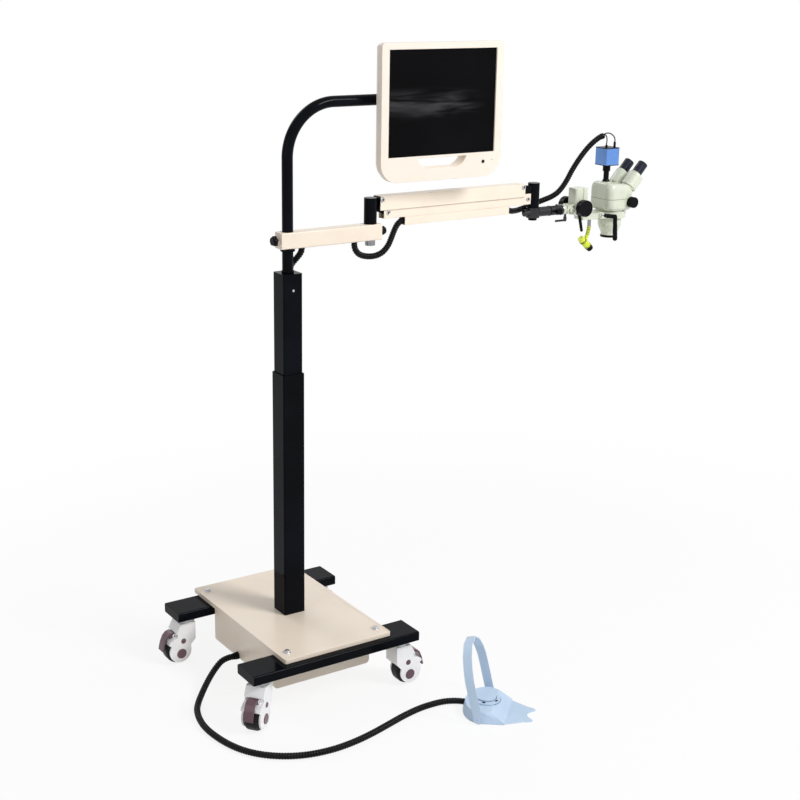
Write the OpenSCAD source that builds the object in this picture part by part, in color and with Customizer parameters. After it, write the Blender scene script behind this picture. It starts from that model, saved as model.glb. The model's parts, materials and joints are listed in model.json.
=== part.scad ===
// Dental microscope on a mobile stand, with a camera, a monitor and a foot control.
// Millimetres, +Z up. The pieces are drawn from the foot of the column's axis, and then moved so
// that the origin is on the floor, in the middle of the space that the object takes.
// +X runs along the arms to the microscope, and the monitor faces -Y.

/* [Base] */
// Width of the base plate, along X
plate_w = 356; // [330:1:380]
// Length of the base plate, along Y
plate_l = 582; // [572:1:600]
// Thickness of the base plate
plate_t = 14; // [10:1:18]
// Length of each leg
leg_len = 556; // [540:1:600]
// Width of a leg, across
leg_w = 100; // [92:1:110]
// Height of a leg
leg_h = 30; // [26:1:40]
// Diameter of a caster wheel
wheel_d = 85; // [78:1:86]
// Height of a caster, from the floor to the leg
caster_h = 148; // [146:1:156]
// Distance of a caster's stem from the end of its leg
caster_inset = 45; // [40:1:50]
// Height of the power box
box_h = 116; // [90:1:120]

/* [Column] */
// Outer width of the square column
column_w = 70; // [66:1:76]
// Wall of the square column
column_wall = 3.5; // [2.5:0.5:5]
// Length of the outer column
column_len = 749; // [700:1:780]
// Length of the inner column
inner_len = 700; // [620:1:720]
// Length of inner column that shows at rest
inner_shows = 294; // [285:1:310]
// Diameter of the monitor pole
pole_d = 32; // [28:1:34]
// Radius of the pole's bend
bend_r = 150; // [120:1:160]
// Height of the monitor pole above the inner column
pole_rise = 472; // [465:1:500]

/* [Monitor] */
// Width of the monitor casing
monitor_w = 427; // [420:1:440]
// Height of the monitor casing
monitor_h = 392; // [384:1:400]
// Width of the picture
screen_w = 376; // [370:1:380]
// Height of the picture
screen_h = 301; // [292:1:304]
// Thickness of the flat part of the casing
monitor_t = 40; // [36:1:44]
// Place of the monitor's middle along the pole
monitor_x = 475; // [460:1:500]

/* [Arms] */
// Length of the lower arm between its two axes
beam_reach = 276; // [250:1:300]
// Width of the lower arm
beam_w = 40; // [38:1:46]
// Height of the lower arm
beam_h = 47; // [44:1:50]
// Diameter of the elbow and wrist posts
post_d = 38; // [36:1:40]
// Length between the pivots of the parallel links
link_len = 580; // [540:1:620]
// Width of the upper link's cover
link_w = 36; // [35.5:0.5:37]
// Height of the upper link's cover
cover_h = 42; // [40:1:44]
// Turn of the link arm about the elbow at rest
arm_yaw = 6.8; // [0:0.1:12]
// Fall of the link arm at rest, in degrees
arm_drop = 1.2; // [0:0.1:3]

/* [Microscope] */
// Diameter of the short arm's tube
tube_d = 31; // [28:1:32]
// Length of the short arm, from the wrist axis to its end
short_len = 120; // [112:1:132]
// Width of the microscope body, along Y
scope_w = 109; // [104:1:114]
// Depth of the microscope body, along X
scope_l = 108; // [102:1:112]
// Height of the microscope body
scope_h = 87; // [83:1:92]
// Inner diameter of the carrier ring
ring_d = 76.6; // [74:0.2:78]
// Outer diameter of the carrier ring
ring_od = 104; // [100:1:108]
// Diameter of the focus knobs
focus_d = 54; // [46:1:56]
// Width of the camera
camera_w = 56; // [50:1:58]
// Height of the camera
camera_h = 58; // [50:1:64]
// Distance between the eyepieces
eye_gap = 66; // [64:1:70]

/* [Foot control] */
// Width of the foot control's body
pedal_w = 174; // [164:1:184]
// Height of the foot control's body
pedal_h = 34; // [30:1:38]
// Height of the carrying handle
handle_h = 223; // [200:1:240]

/* [Hidden] */
$fn = 48;

// Shared clearances and small sizes
eps = 1;                 // overrun of a cut
run = 0.3;               // running clearance between pieces that turn
fit = 0.1;               // radial clearance of a shaft in its bore
steel = 3;               // wall of welded steel
plane = [0, 90, 0];      // turn of Z onto X

// Colours
cream = [0.93, 0.87, 0.78];
scope_green = [0.84, 0.87, 0.76];
gloss_black = [0.04, 0.04, 0.05];
soft_black = [0.09, 0.09, 0.1];
pedal_blue = [0.66, 0.75, 0.85];
caster_white = [0.95, 0.95, 0.95];
mauve = [0.43, 0.29, 0.33];
lamp_green = [0.8, 0.95, 0.15];
silver = [0.75, 0.75, 0.77];
grey = [0.42, 0.42, 0.44];
camera_blue = [0.36, 0.53, 0.82];

// Heights of the stand
leg_z = caster_h;
plate_z = leg_z + leg_h;
column_z = plate_z + plate_t;
column_top = column_z + column_len;
inner_top = column_top + inner_shows;
pole_z = inner_top + pole_rise;

// Places of the base
leg_shift = -12;
leg_front_y = -263;
leg_rear_y = 218;
leg_edge_r = 5;
plate_edge_r = 6;
stem_left_x = leg_shift - leg_len / 2 + caster_inset;
stem_right_x = leg_shift + leg_len / 2 - caster_inset;
turns = [218, 0, 180, 20];   // of the four casters about their stems
corners = [[stem_left_x, leg_front_y, turns[0]], [stem_right_x, leg_front_y, turns[1]],
    [stem_left_x, leg_rear_y, turns[2]], [stem_right_x, leg_rear_y, turns[3]]];

// Rounded rectangle, centred
module rrect(w, l, r) {
    square([w - 2 * r, l], center = true);
    square([w, l - 2 * r], center = true);
    for (sx = [-1, 1], sy = [-1, 1])
        translate([sx * (w / 2 - r), sy * (l / 2 - r)]) circle(r);
}

// Rounded upright block, standing on z = 0
module rblock(w, l, h, r) {
    linear_extrude(h) rrect(w, l, r);
}

// Cylinder along X or Y, centred on the other two axes
module xcyl(r, l) { rotate(plane) cylinder(r = r, h = l); }
module ycyl(r, l) { rotate([-90, 0, 0]) cylinder(r = r, h = l); }

// Cylinder along Y, its middle at the distance y from the middle plane
module side_disc(r, l, y) { translate([0, y - l / 2, 0]) ycyl(r, l); }

// Profile drawn in X and Z, extruded along Y about y = 0
module side_plate(t) {
    rotate([90, 0, 0]) translate([0, 0, -t / 2]) linear_extrude(t) children();
}

// Points of an arc
function arc(cx, cy, r, a0, a1, n) =
    [for (i = [0:n]) let (a = a0 + (a1 - a0) * i / n) [cx + r * cos(a), cy + r * sin(a)]];

// Points of a table of shares, set at a place and given their two sizes
function placed(shares, x, y, w, h) = [for (s = shares) [x + s[0] * w, y + s[1] * h]];

// Knob with lobes, its axis on Z, standing on z = 0
core_share = 0.78;
lobe_place_share = 0.74;
lobe_share = 0.26;
lobe_h_share = 0.8;

module star(r, h, lobes) {
    cylinder(r = core_share * r, h = h);
    for (i = [0:lobes - 1]) rotate([0, 0, 360 * i / lobes]) translate([lobe_place_share * r, 0, 0])
        cylinder(r = lobe_share * r, h = lobe_h_share * h);
}

// Base plate, legs and box
bolt_x = 150;
bolt_front_y = -251;
bolt_rear_y = 250;
bolt_d = 10;
bolt_head_r = 9;
bolt_head_h = 6;
bolt_end = 6;
washer_r = 11;
washer_t = 1.5;

module at_bolts() {
    for (sx = [-1, 1], y = [bolt_front_y, bolt_rear_y]) translate([sx * bolt_x, y, 0]) children();
}

module base_plate() {
    color(cream) difference() {
        translate([0, 0, plate_z]) rblock(plate_w, plate_l, plate_t, plate_edge_r);
        at_bolts() translate([0, 0, plate_z - eps])
            cylinder(d = bolt_d + 2 * fit, h = plate_t + 2 * eps);
    }
}

module leg_tube() {
    rotate([90, 0, 90]) translate([0, 0, -leg_len / 2]) linear_extrude(leg_len)
        rrect(leg_w, leg_h, leg_edge_r);
}

module leg_hollow() {
    cube([leg_len - 2 * steel, leg_w - 2 * steel, leg_h - 2 * steel], center = true);
}

module legs() {
    color(gloss_black) difference() {
        for (y = [leg_front_y, leg_rear_y]) translate([leg_shift, y, leg_z + leg_h / 2])
            difference() {
                leg_tube();
                leg_hollow();
            }
        for (c = corners) translate([c[0], c[1], leg_z - eps])
            cylinder(r = stem_r + fit, h = steel + 2 * eps);
        at_bolts() translate([0, 0, plate_z - steel - eps])
            cylinder(d = bolt_d + 2 * fit, h = steel + 2 * eps);
    }
}

box_left = -170;
box_right = 155;
box_front = -211;
box_back = 166;
box_edge_r = 12;
box_wall = 2;

module box_outline(inset) {
    w = box_right - box_left - 2 * inset;
    r = box_edge_r - inset;
    translate([(box_left + box_right) / 2, -box_h / 2 + plate_z]) union() {
        rrect(w, box_h - 2 * inset, r);
        translate([-w / 2, 0]) square([w, box_h / 2 - inset]);
    }
}

module power_box() {
    l = box_back - box_front;
    color(cream) difference() {
        translate([0, box_back, 0]) rotate([90, 0, 0]) linear_extrude(l) box_outline(0);
        translate([0, box_back - box_wall, 0]) rotate([90, 0, 0])
            linear_extrude(l - 2 * box_wall) box_outline(box_wall);
        translate([box_left - eps, gland_y, gland_z]) xcyl(gland_thread_r + fit, box_wall + box_edge_r);
    }
}

module base_bolts() {
    shank = plate_t + steel + bolt_end;
    color(silver) at_bolts() {
        translate([0, 0, column_z]) cylinder(r = washer_r, h = washer_t);
        translate([0, 0, column_z + washer_t]) cylinder(r = bolt_head_r, h = bolt_head_h, $fn = 6);
        translate([0, 0, column_z - shank]) cylinder(d = bolt_d, h = shank);
    }
}

// Lifting column
slide_play = 0.5;
inner_w = column_w - 2 * column_wall - 2 * slide_play;
inner_wall = 2.5;
column_edge_r = 5;
least_edge_r = 1;
actuator_r = 20;
actuator_len = 508;
foot_play = 4;
foot_t = 12;
rod_r = 12;
rod_len = 717;
cap_t = 4;

module square_tube(w, wall, r, len) {
    difference() {
        rblock(w, w, len, r);
        translate([0, 0, -eps])
            rblock(w - 2 * wall, w - 2 * wall, len + 2 * eps, max(r - wall, least_edge_r));
    }
}

module column_outer() {
    color(gloss_black) translate([0, 0, column_z])
        square_tube(column_w, column_wall, column_edge_r, column_len);
}

module lift_actuator() {
    foot_w = inner_w - 2 * foot_play;
    color(grey) translate([0, 0, column_z]) difference() {
        union() {
            cylinder(r = actuator_r, h = actuator_len);
            translate([0, 0, foot_t / 2]) cube([foot_w, foot_w, foot_t], center = true);
        }
        translate([0, 0, foot_t]) cylinder(r = rod_r + fit, h = actuator_len);
    }
}

module column_inner() {
    hollow_w = inner_w - 2 * inner_wall;
    color(gloss_black) {
        translate([0, 0, inner_top - inner_len]) difference() {
            rblock(inner_w, inner_w, inner_len, column_edge_r);
            translate([0, 0, -eps])
                rblock(hollow_w, hollow_w, inner_len - cap_t + eps, column_edge_r - inner_wall);
        }
        translate([0, 0, inner_top - cap_t - rod_len + eps]) cylinder(r = rod_r, h = rod_len);
    }
}

// Casters. Local frame: the swivel axis is Z, the floor is z = 0 and the wheel trails along +X
wheel_r = wheel_d / 2;
wheel_w = 45;
trail = 31;
axle_z = wheel_r;
axle_r = 5;
housing_w = 60;
neck_r = 27;
neck_gap = 3.3;
neck_top = caster_h - neck_gap;
neck_z = 131;
hood_front = -20;
hood_low_z = 75;
hood_end_x = 29;
cheek_gap = 6.5;
cheek_r = wheel_r - cheek_gap;
well_gap = 1.8;
well_side = 1.5;
tyre_edge_r = 12;
stem_r = 6;
stem_disc_r = 24;
stem_disc_t = 3;
stem_up = 20;
stem_top = caster_h + stem_up;
stem_foot = 118;
stem_end_gap = 1;
axle_cap_r = 15;
axle_cap_t = 2;
axle_cap_fall = 8;
axle_cap_back = 3;
pivot_cap_r = 7.5;
pivot_cap_x = 21;
pivot_cap_z = 75;
brake_px = 46;
brake_pz = 93.5;
brake_hub_r = 4.2;
brake_pin_len = 40;
brake_lug_r = 6;
brake_lug_back = 3;
brake_lug_t = 4;
brake_w = 30;
brake_pin_r = 2.5;
brake_reach = 40;
brake_fall = 48;
fender_w = 39;
fender_h = 46;

// From the pin's middle, in the reach and the fall of the brake
brake_shares = [[0, 0.0875], [0.08, 0.24], [0.4, 0.16], [0.66, -0.06], [0.85, -0.42], [1, -0.96],
    [0.9, -1], [0.76, -0.5], [0.57, -0.16], [0.34, 0.01], [0.14, -0.06], [0, -0.0875]];

// From the wheel's middle, in the reach and the height of the fender, tip first
fender_shares = [[1, 0.6], [0.92, 0.75], [0.59, 0.93], [0.28, 1], [0.23, 1.05], [0.21, 1.25],
    [0.34, 1.3], [0.26, 1.42]];

function hood_outline() = concat(
    [[hood_front, neck_z], [hood_front, hood_low_z]],
    arc(trail, axle_z, cheek_r, 158, 395, 18),
    placed(fender_shares, trail, axle_z, fender_w, fender_h),
    [[hood_end_x, neck_z]]);

module at_axle() { translate([trail, 0, axle_z]) children(); }
module at_brake() { translate([brake_px, 0, brake_pz]) children(); }

module brake_lug(s) {
    y = s * (brake_w / 2 + run + brake_lug_t / 2);
    at_brake() {
        side_disc(brake_lug_r, brake_lug_t, y);
        translate([-brake_lug_r - brake_lug_back, y - brake_lug_t / 2, -brake_lug_r])
            cube([brake_lug_r + brake_lug_back, brake_lug_t, 2 * brake_lug_r]);
    }
}

module caster_housing() {
    cap_y = housing_w / 2 + axle_cap_t / 2 - fit;
    color(caster_white) difference() {
        union() {
            side_plate(housing_w) polygon(hood_outline());
            translate([0, 0, neck_z - eps]) cylinder(r = neck_r, h = neck_top - neck_z + eps);
            for (s = [-1, 1]) {
                translate([trail - axle_cap_back, 0, axle_z - axle_cap_fall])
                    side_disc(axle_cap_r, axle_cap_t, s * cap_y);
                translate([pivot_cap_x, 0, pivot_cap_z]) side_disc(pivot_cap_r, axle_cap_t, s * cap_y);
                brake_lug(s);
            }
        }
        at_brake() side_disc(brake_pin_r + fit, 2 * housing_w, 0);
        at_axle() difference() {
            side_disc(wheel_r + well_gap, wheel_w + 2 * well_side, 0);
            side_disc(axle_r, housing_w, 0);
        }
        translate([0, 0, stem_foot - stem_end_gap]) cylinder(r = stem_r + fit, h = caster_h);
    }
}

module caster_wheel() {
    half = wheel_w / 2;
    x = wheel_r - tyre_edge_r;
    y = half - tyre_edge_r;
    color(soft_black) at_axle() rotate([90, 0, 0]) rotate_extrude()
        polygon(concat([[axle_r + fit, -half]], arc(x, -y, tyre_edge_r, -90, 0, 6),
            arc(x, y, tyre_edge_r, 0, 90, 6), [[axle_r + fit, half]]));
}

module caster_brake() {
    color(mauve) {
        side_plate(brake_w) polygon(placed(brake_shares, brake_px, brake_pz, brake_reach, brake_fall));
        at_brake() side_disc(brake_hub_r, brake_w, 0);
        at_brake() side_disc(brake_pin_r, brake_pin_len, 0);
    }
}

module at_caster(i) {
    translate([corners[i][0], corners[i][1], 0]) rotate([0, 0, corners[i][2]]) children();
}

module caster_stems() {
    color(silver) for (c = corners) translate([c[0], c[1], 0]) {
        translate([0, 0, stem_foot]) cylinder(r = stem_r, h = stem_top - stem_foot);
        translate([0, 0, caster_h - stem_disc_t]) cylinder(r = stem_disc_r, h = stem_disc_t);
    }
}

// Hose route helpers: points are joined by a smooth curve and cut at even steps
least = 0.001;
function add_end(p) = concat([2 * p[0] - p[1]], p, [2 * p[len(p) - 1] - p[len(p) - 2]]);
function spline(a, b, c, d, t) = 0.5 * ((2 * b) + (c - a) * t + (2 * a - 5 * b + 4 * c - d) * t * t
    + (3 * b - a - 3 * c + d) * t * t * t);
function curve(p, n) = let (q = add_end(p)) concat([for (i = [1:len(q) - 3], k = [0:n - 1])
    spline(q[i - 1], q[i], q[i + 1], q[i + 2], k / n)], [p[len(p) - 1]]);
function lengths(p) = [for (i = 0, s = 0; i < len(p);
    s = s + (i + 1 < len(p) ? norm(p[i + 1] - p[i]) : 0), i = i + 1) s];
function at_length(p, s, d, i = 0) = i >= len(p) - 2 || s[i + 1] >= d ?
    p[i] + (p[i + 1] - p[i]) * (d - s[i]) / max(s[i + 1] - s[i], least) : at_length(p, s, d, i + 1);
function steps(p, n) = let (s = lengths(p), l = s[len(s) - 1])
    [for (i = [0:n]) at_length(p, s, min(l * i / n, l - least))];
function unit(v) = v / max(norm(v), least * least);
function tangents(p, route) = [for (i = [0:len(p) - 1])
    i == 0 ? unit(route[1] - route[0]) :
    i == len(p) - 1 ? unit(route[len(route) - 1] - route[len(route) - 2]) : unit(p[i + 1] - p[i - 1])];
function normals(t, first) = [for (i = 0, n = unit(first - t[0] * (first * t[0])); i < len(t);
    n = i + 1 < len(t) ? unit(n - t[i + 1] * (n * t[i + 1])) : n, i = i + 1) n];
function ring_points(c, t, n, r, sides) = let (b = cross(t, n))
    [for (j = [0:sides - 1]) c + r * (cos(360 * j / sides) * n + sin(360 * j / sides) * b)];
function wall_faces(start, rings, sides, flip) = [for (i = [0:rings - 2], j = [0:sides - 1], k = [0, 1])
    let (a = start + i * sides + j, b = start + i * sides + (j + 1) % sides, c = a + sides, d = b + sides,
        f = k == 0 ? [a, b, d] : [a, d, c]) flip ? [f[0], f[2], f[1]] : f];
function end_faces(o, i, sides, flip) = [for (j = [0:sides - 1], k = [0, 1])
    let (jn = (j + 1) % sides, f = k == 0 ? [o + j, i + j, i + jn] : [o + j, i + jn, o + jn])
    flip ? [f[0], f[2], f[1]] : f];

hose_sides = 8;
hose_up = [0, 0.1, 1];
hose_side = [0, 1, 0.1];

// Ribbed hose along a route, with its bore. The ends are plain for one step
module ribbed_hose(route, ribs, crest_r, root_r, bore_r, bore_rings, first = hose_up) {
    fine = curve(route, 12);
    p = steps(fine, 2 * ribs);
    q = steps(fine, bore_rings);
    tp = tangents(p, route);
    tq = tangents(q, route);
    np = normals(tp, first);
    nq = normals(tq, first);
    outer = [for (i = [0:len(p) - 1]) each ring_points(p[i], tp[i], np[i],
        i % 2 == 1 && i > 1 && i < len(p) - 2 ? crest_r : root_r, hose_sides)];
    inner = [for (i = [0:len(q) - 1]) each ring_points(q[i], tq[i], nq[i], bore_r, hose_sides)];
    no = len(outer);
    faces = concat(wall_faces(0, len(p), hose_sides, true),
        wall_faces(no, len(q), hose_sides, false),
        end_faces(0, no, hose_sides, true),
        end_faces((len(p) - 1) * hose_sides, no + (len(q) - 1) * hose_sides, hose_sides, false));
    polyhedron(points = concat(outer, inner), faces = faces, convexity = 10);
}

// Foot control and its hose
gland_y = 14;
gland_z = 76;
gland_thread_r = 8;
gland_body_r = 10;
gland_nut_r = 13;
gland_len = 16;
gland_nut_len = 8;
gland_grip = 6;
floor_hose_r = 9.5;
floor_root_r = 8.6;
floor_bore_r = 6;
pedal_x = 348;
pedal_y = -540;
pedal_turn = -46.8;
pedal_back = 66;
pedal_front = 68;
crease_w = 152;
toe_h = 6;
shell_inset = 6;
flap_overlap = 8;
flap_len = 76;
flap_t = 4;
flap_w = 86;
disc_r = 29;
disc_ring_r = 42;
disc_ring_h = 5;
disc_h = 12;
disc_rise = 4;
disc_y = 6;
disc_stem_r = 5;
disc_stem_len = 8;
strap_w = 26;
strap_t = 3;
strap_gap = 7;
handle_lean = 14;
handle_px = -4;
handle_pz = 17;
handle_pin_r = 4;
handle_pin_len = 12;
boss_r = 9;
boss_len = 11;
hose_in_x = 52;
hose_in_y = 11.5;
hose_in_z = 12;
top_z = handle_h - handle_pz;
ring_top = pedal_h + disc_ring_h;

pedal_route = [[-186, 14, 76], [-205, 14, 76], [-230, 10, 71], [-262, -2, 52], [-292, -20, 32],
    [-322, -46, 16], [-350, -80, 10], [-373, -120, 10], [-390, -175, 10], [-396, -235, 10],
    [-388, -310, 10], [-368, -375, 10], [-334, -428, 10], [-285, -470, 10], [-225, -498, 10],
    [-155, -510, 10], [-85, -507, 10], [-15, -494, 10], [55, -475, 10], [120, -457, 10],
    [180, -446, 10], [230, -445, 10], [265, -450, 10], [288, -462, 11], [304, -476, 12],
    [318, -491, 12]];

module pedal_hose() {
    color(soft_black) ribbed_hose(pedal_route, 92, floor_hose_r, floor_root_r, floor_bore_r, 46);
}

module hose_gland() {
    color(soft_black) translate([box_left, gland_y, gland_z]) {
        translate([-gland_len, 0, 0]) xcyl(gland_body_r, gland_len);
        translate([-gland_nut_len, 0, 0]) rotate(plane)
            cylinder(r = gland_nut_r, h = gland_nut_len, $fn = 6);
        xcyl(gland_thread_r, box_wall + gland_grip);
    }
}

module at_pedal() {
    translate([pedal_x, pedal_y, 0]) rotate([0, 0, pedal_turn]) children();
}

// Outline of the foot control's body seen from above, in the shares of its back, front and width
back_arc_shares = arc(0, 0, 1, 60, 300, 16);

function body_outline(inset, front) = concat(
    [for (s = back_arc_shares)
        [s[0] * (s[0] < 0 ? pedal_back - inset : front), s[1] * (pedal_w / 2 - inset)]],
    [[front, -crease_w / 2 + inset], [front, crease_w / 2 - inset]]);

top_front_share = 0.4;

module pedal_shell() {
    hull() {
        linear_extrude(toe_h) polygon(body_outline(0, pedal_front));
        translate([0, 0, pedal_h - toe_h]) linear_extrude(toe_h)
            polygon(body_outline(shell_inset, pedal_front * top_front_share));
    }
}

// From the crease, in the length of the flap and half its width
flap_shares = [[0.72, 0.99], [0.8, 1], [0.95, 0.86], [1, 0.72], [0.94, 0.6], [0.82, 0.42],
    [0.74, 0.2], [0.72, 0], [0.74, -0.2], [0.82, -0.42], [0.94, -0.6], [1, -0.72], [0.95, -0.86],
    [0.8, -1], [0.72, -0.99]];

module pedal_flap() {
    linear_extrude(flap_t) polygon(concat([[pedal_front - flap_overlap, -crease_w / 2],
        [pedal_front - flap_overlap, crease_w / 2]],
        placed(flap_shares, pedal_front, 0, flap_len, flap_w / 2)));
}

module pedal_base() {
    back = pedal_w / 2 + boss_len;
    color(pedal_blue) at_pedal() difference() {
        union() {
            pedal_shell();
            pedal_flap();
            translate([0, disc_y, 0]) cylinder(r = disc_ring_r, h = ring_top);
            for (s = [-1, 1]) translate([handle_px, 0, handle_pz]) {
                side_disc(boss_r, boss_len, s * (pedal_w / 2 + eps));
                side_disc(handle_pin_r, handle_pin_len, s * (pedal_w / 2 + handle_pin_len / 2));
            }
        }
        translate([0, disc_y, ring_top - disc_h]) cylinder(r = disc_r + run, h = disc_h + eps);
        translate([0, disc_y, ring_top - 2 * disc_h]) cylinder(r = disc_stem_r + fit, h = disc_h + eps);
        translate([-back, hose_in_y, hose_in_z]) xcyl(floor_hose_r + run, back - hose_in_x);
    }
}

module pedal_disc() {
    color(pedal_blue) at_pedal() translate([0, disc_y, ring_top + disc_rise - disc_h]) {
        cylinder(r = disc_r, h = disc_h);
        translate([0, 0, -disc_stem_len]) cylinder(r = disc_stem_r, h = disc_stem_len + eps);
    }
}

// Centre line of one side of the strap, in half its foot's width and its height
strap_shares = [[1, 0], [1.01, 0.16], [1.03, 0.4], [1.02, 0.58], [0.9, 0.72], [0.66, 0.87],
    [0.26, 0.985]];
strap_half = pedal_w / 2 + strap_gap;

function strap_side(d) = [for (s = strap_shares)
    [-s[0] * strap_half - d * (1 - s[1] / 2), s[1] * top_z + d * s[1]]];
function mirrored(p) = [for (i = [len(p) - 1:-1:0]) [-p[i][0], p[i][1]]];

module pedal_handle() {
    outer = strap_side(strap_t);
    inner = strap_side(0);
    color(pedal_blue) at_pedal() translate([handle_px, 0, handle_pz]) rotate([0, -handle_lean, 0])
        difference() {
            union() {
                translate([strap_w / 2, 0, 0]) rotate([0, 0, 90]) rotate([90, 0, 0])
                    mirror([0, 0, 1]) linear_extrude(strap_w)
                        polygon(concat(outer, mirrored(outer), [for (p = inner) [-p[0], p[1]]],
                            [for (i = [len(inner) - 1:-1:0]) inner[i]]));
                for (s = [-1, 1]) side_disc(strap_w / 2, strap_t, s * (strap_half + strap_t / 2));
            }
            side_disc(handle_pin_r + fit, 2 * pedal_w, 0);
        }
}

// Monitor pole and monitor
casing_drop = 35;
monitor_z = pole_z - casing_drop;
face_y = -75;
pole_past = 45;
pole_end_x = monitor_x + pole_past;
shell_t = 18;
casing_top_r = 12;
casing_low_r = 58;
casing_draft = 8;
screen_lift = 27;
screen_rim = 5;
screen_fit = 0.5;
bezel_t = 6;
hump_w = 240;
hump_h = 220;
hump_t = 11;
hump_lift = 35;
hump_flare = 20;
hump_edge_r = 20;
hump_foot_r = 30;
hollow_edge = 6;
hump_edge = 10;
back_wall = 3;
grip_w = 175;
grip_h = 30;
grip_up = 36;
button_dx = 148;
button_dz = 151;
button_r = 4.5;
button_travel = 1.5;
button_rim = 1;
button_rim_t = 1.5;
button_well = 2;
button_well_t = 5;
light_dx = 33;
light_dz = 3;
light_r = 1.5;
light_t = 3;
bracket_r = 23;
bracket_w = 70;
bracket_bite = 8;
vesa_w = 110;
vesa_t = 4;
vesa_drop = 5;
collar_r = 21;
collar_h = 8;
pole_foot_r = 2;
pole_foot_h = 6;

screen_z = monitor_z + screen_lift;
back_y = face_y + monitor_t;
hump_y = back_y + hump_t;
button_x = monitor_x + button_dx;
button_z = monitor_z - button_dz;

module monitor_pole() {
    color(gloss_black) {
        translate([0, 0, inner_top]) cylinder(d = pole_d, h = pole_rise - bend_r);
        translate([bend_r, 0, pole_z - bend_r]) rotate([90, 0, 0]) rotate([0, 0, 90])
            rotate_extrude(angle = 90) translate([bend_r, 0]) circle(d = pole_d);
        translate([bend_r, 0, pole_z]) xcyl(pole_d / 2, pole_end_x - bend_r);
        translate([0, 0, beam_z - collar_h - run]) cylinder(r = collar_r, h = collar_h);
        translate([0, 0, inner_top]) cylinder(r = pole_d / 2 + pole_foot_r, h = pole_foot_h);
    }
}

module monitor_bracket() {
    gap = -pole_d / 2 - hump_y - vesa_t;
    color(gloss_black) difference() {
        union() {
            translate([monitor_x - bracket_w / 2, 0, pole_z]) xcyl(bracket_r, bracket_w);
            translate([monitor_x - vesa_w / 2, hump_y, pole_z - vesa_w / 2 - vesa_drop])
                cube([vesa_w, vesa_t, vesa_w]);
            translate([monitor_x - bracket_w / 2, hump_y + vesa_t - fit, pole_z - bracket_r])
                cube([bracket_w, gap + bracket_bite, 2 * bracket_r]);
        }
        translate([monitor_x - bracket_w, 0, pole_z]) xcyl(pole_d / 2 + fit, 2 * bracket_w);
    }
}

module casing_outline(inset) {
    w = monitor_w / 2 - inset;
    h = monitor_h / 2 - inset;
    low = casing_low_r - inset;
    top = max(casing_top_r - inset, least_edge_r);
    polygon(concat(arc(w - top, h - top, top, 0, 90, 4), arc(top - w, h - top, top, 90, 180, 4),
        arc(low - w, low - h, low, 180, 270, 10), arc(w - low, low - h, low, 270, 360, 10)));
}

// From the grip's foot, in half its width and its height
grip_shares = [[-1, 1], [-0.92, 0.6], [-0.8, 0.25], [-0.62, 0], [0.62, 0], [0.8, 0.25],
    [0.92, 0.6], [1, 1]];

module grip_outline() {
    polygon(placed(grip_shares, 0, grip_up - monitor_h / 2, grip_w / 2, grip_h));
}

// Casing layers stand with their front on y and go back along +Y
module at_face(y) {
    translate([monitor_x, y, monitor_z]) rotate([90, 0, 0]) mirror([0, 0, 1]) children();
}

module picture_hole(rim) {
    translate([0, screen_lift]) square([screen_w + 2 * rim, screen_h + 2 * rim], center = true);
}

module monitor_front() {
    through = shell_t + 2 * eps;
    color(cream) difference() {
        at_face(face_y) linear_extrude(shell_t) casing_outline(0);
        at_face(face_y - eps) linear_extrude(through) picture_hole(0);
        at_face(face_y + bezel_t) linear_extrude(shell_t) picture_hole(screen_rim);
        at_face(face_y - eps) linear_extrude(through) grip_outline();
        translate([button_x, face_y - eps, button_z]) ycyl(button_r + run, through);
        translate([button_x + light_dx, face_y - eps, button_z + light_dz]) ycyl(light_r, light_t);
    }
}

module hump_layer(y, grow, r) {
    at_face(y - eps) translate([0, hump_lift]) linear_extrude(eps)
        rrect(hump_w + 2 * grow, hump_h + 2 * grow, r);
}

module monitor_back() {
    depth = monitor_t - shell_t;
    inside_y = face_y + shell_t - eps;
    color(cream) difference() {
        union() {
            hull() {
                at_face(face_y + shell_t) linear_extrude(eps) casing_outline(0);
                at_face(back_y - eps) linear_extrude(eps) casing_outline(casing_draft);
            }
            hull() {
                hump_layer(back_y, hump_flare, hump_foot_r);
                hump_layer(hump_y, 0, hump_edge_r);
            }
        }
        at_face(inside_y) linear_extrude(depth - back_wall) picture_hole(-hollow_edge);
        at_face(back_y - back_wall - 2 * eps) translate([0, hump_lift]) linear_extrude(hump_t)
            square([hump_w - 2 * hump_edge, hump_h - 2 * hump_edge], center = true);
        at_face(inside_y) linear_extrude(depth + hump_t + 2 * eps) grip_outline();
        translate([button_x, inside_y, button_z]) ycyl(button_r + button_well, button_well_t);
    }
}

module monitor_screen() {
    color(soft_black) at_face(face_y + bezel_t) linear_extrude(shell_t - bezel_t)
        picture_hole(screen_rim - screen_fit);
}

module monitor_button() {
    stem = shell_t + button_travel;
    color(soft_black) translate([button_x, face_y - button_travel, button_z]) {
        ycyl(button_r, stem + eps);
        translate([0, stem + run, 0]) ycyl(button_r + button_rim, button_rim_t);
    }
}

// Lower arm
beam_up = 69.4;
beam_z = inner_top + beam_up;
beam_back = 30;
beam_end = 30;
beam_edge_r = 4;
beam_solid = 15;
spindle_r = 10;
knob_z = beam_z + beam_h / 2;
knob_r = 15;
small_knob_r = 13;
knob_h = 15;
knob_boss = 6;
knob_boss_r = 9;
screw_r = 4;
screw_gap = 3;
nut_r = 15;
nut_h = 16;

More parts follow.
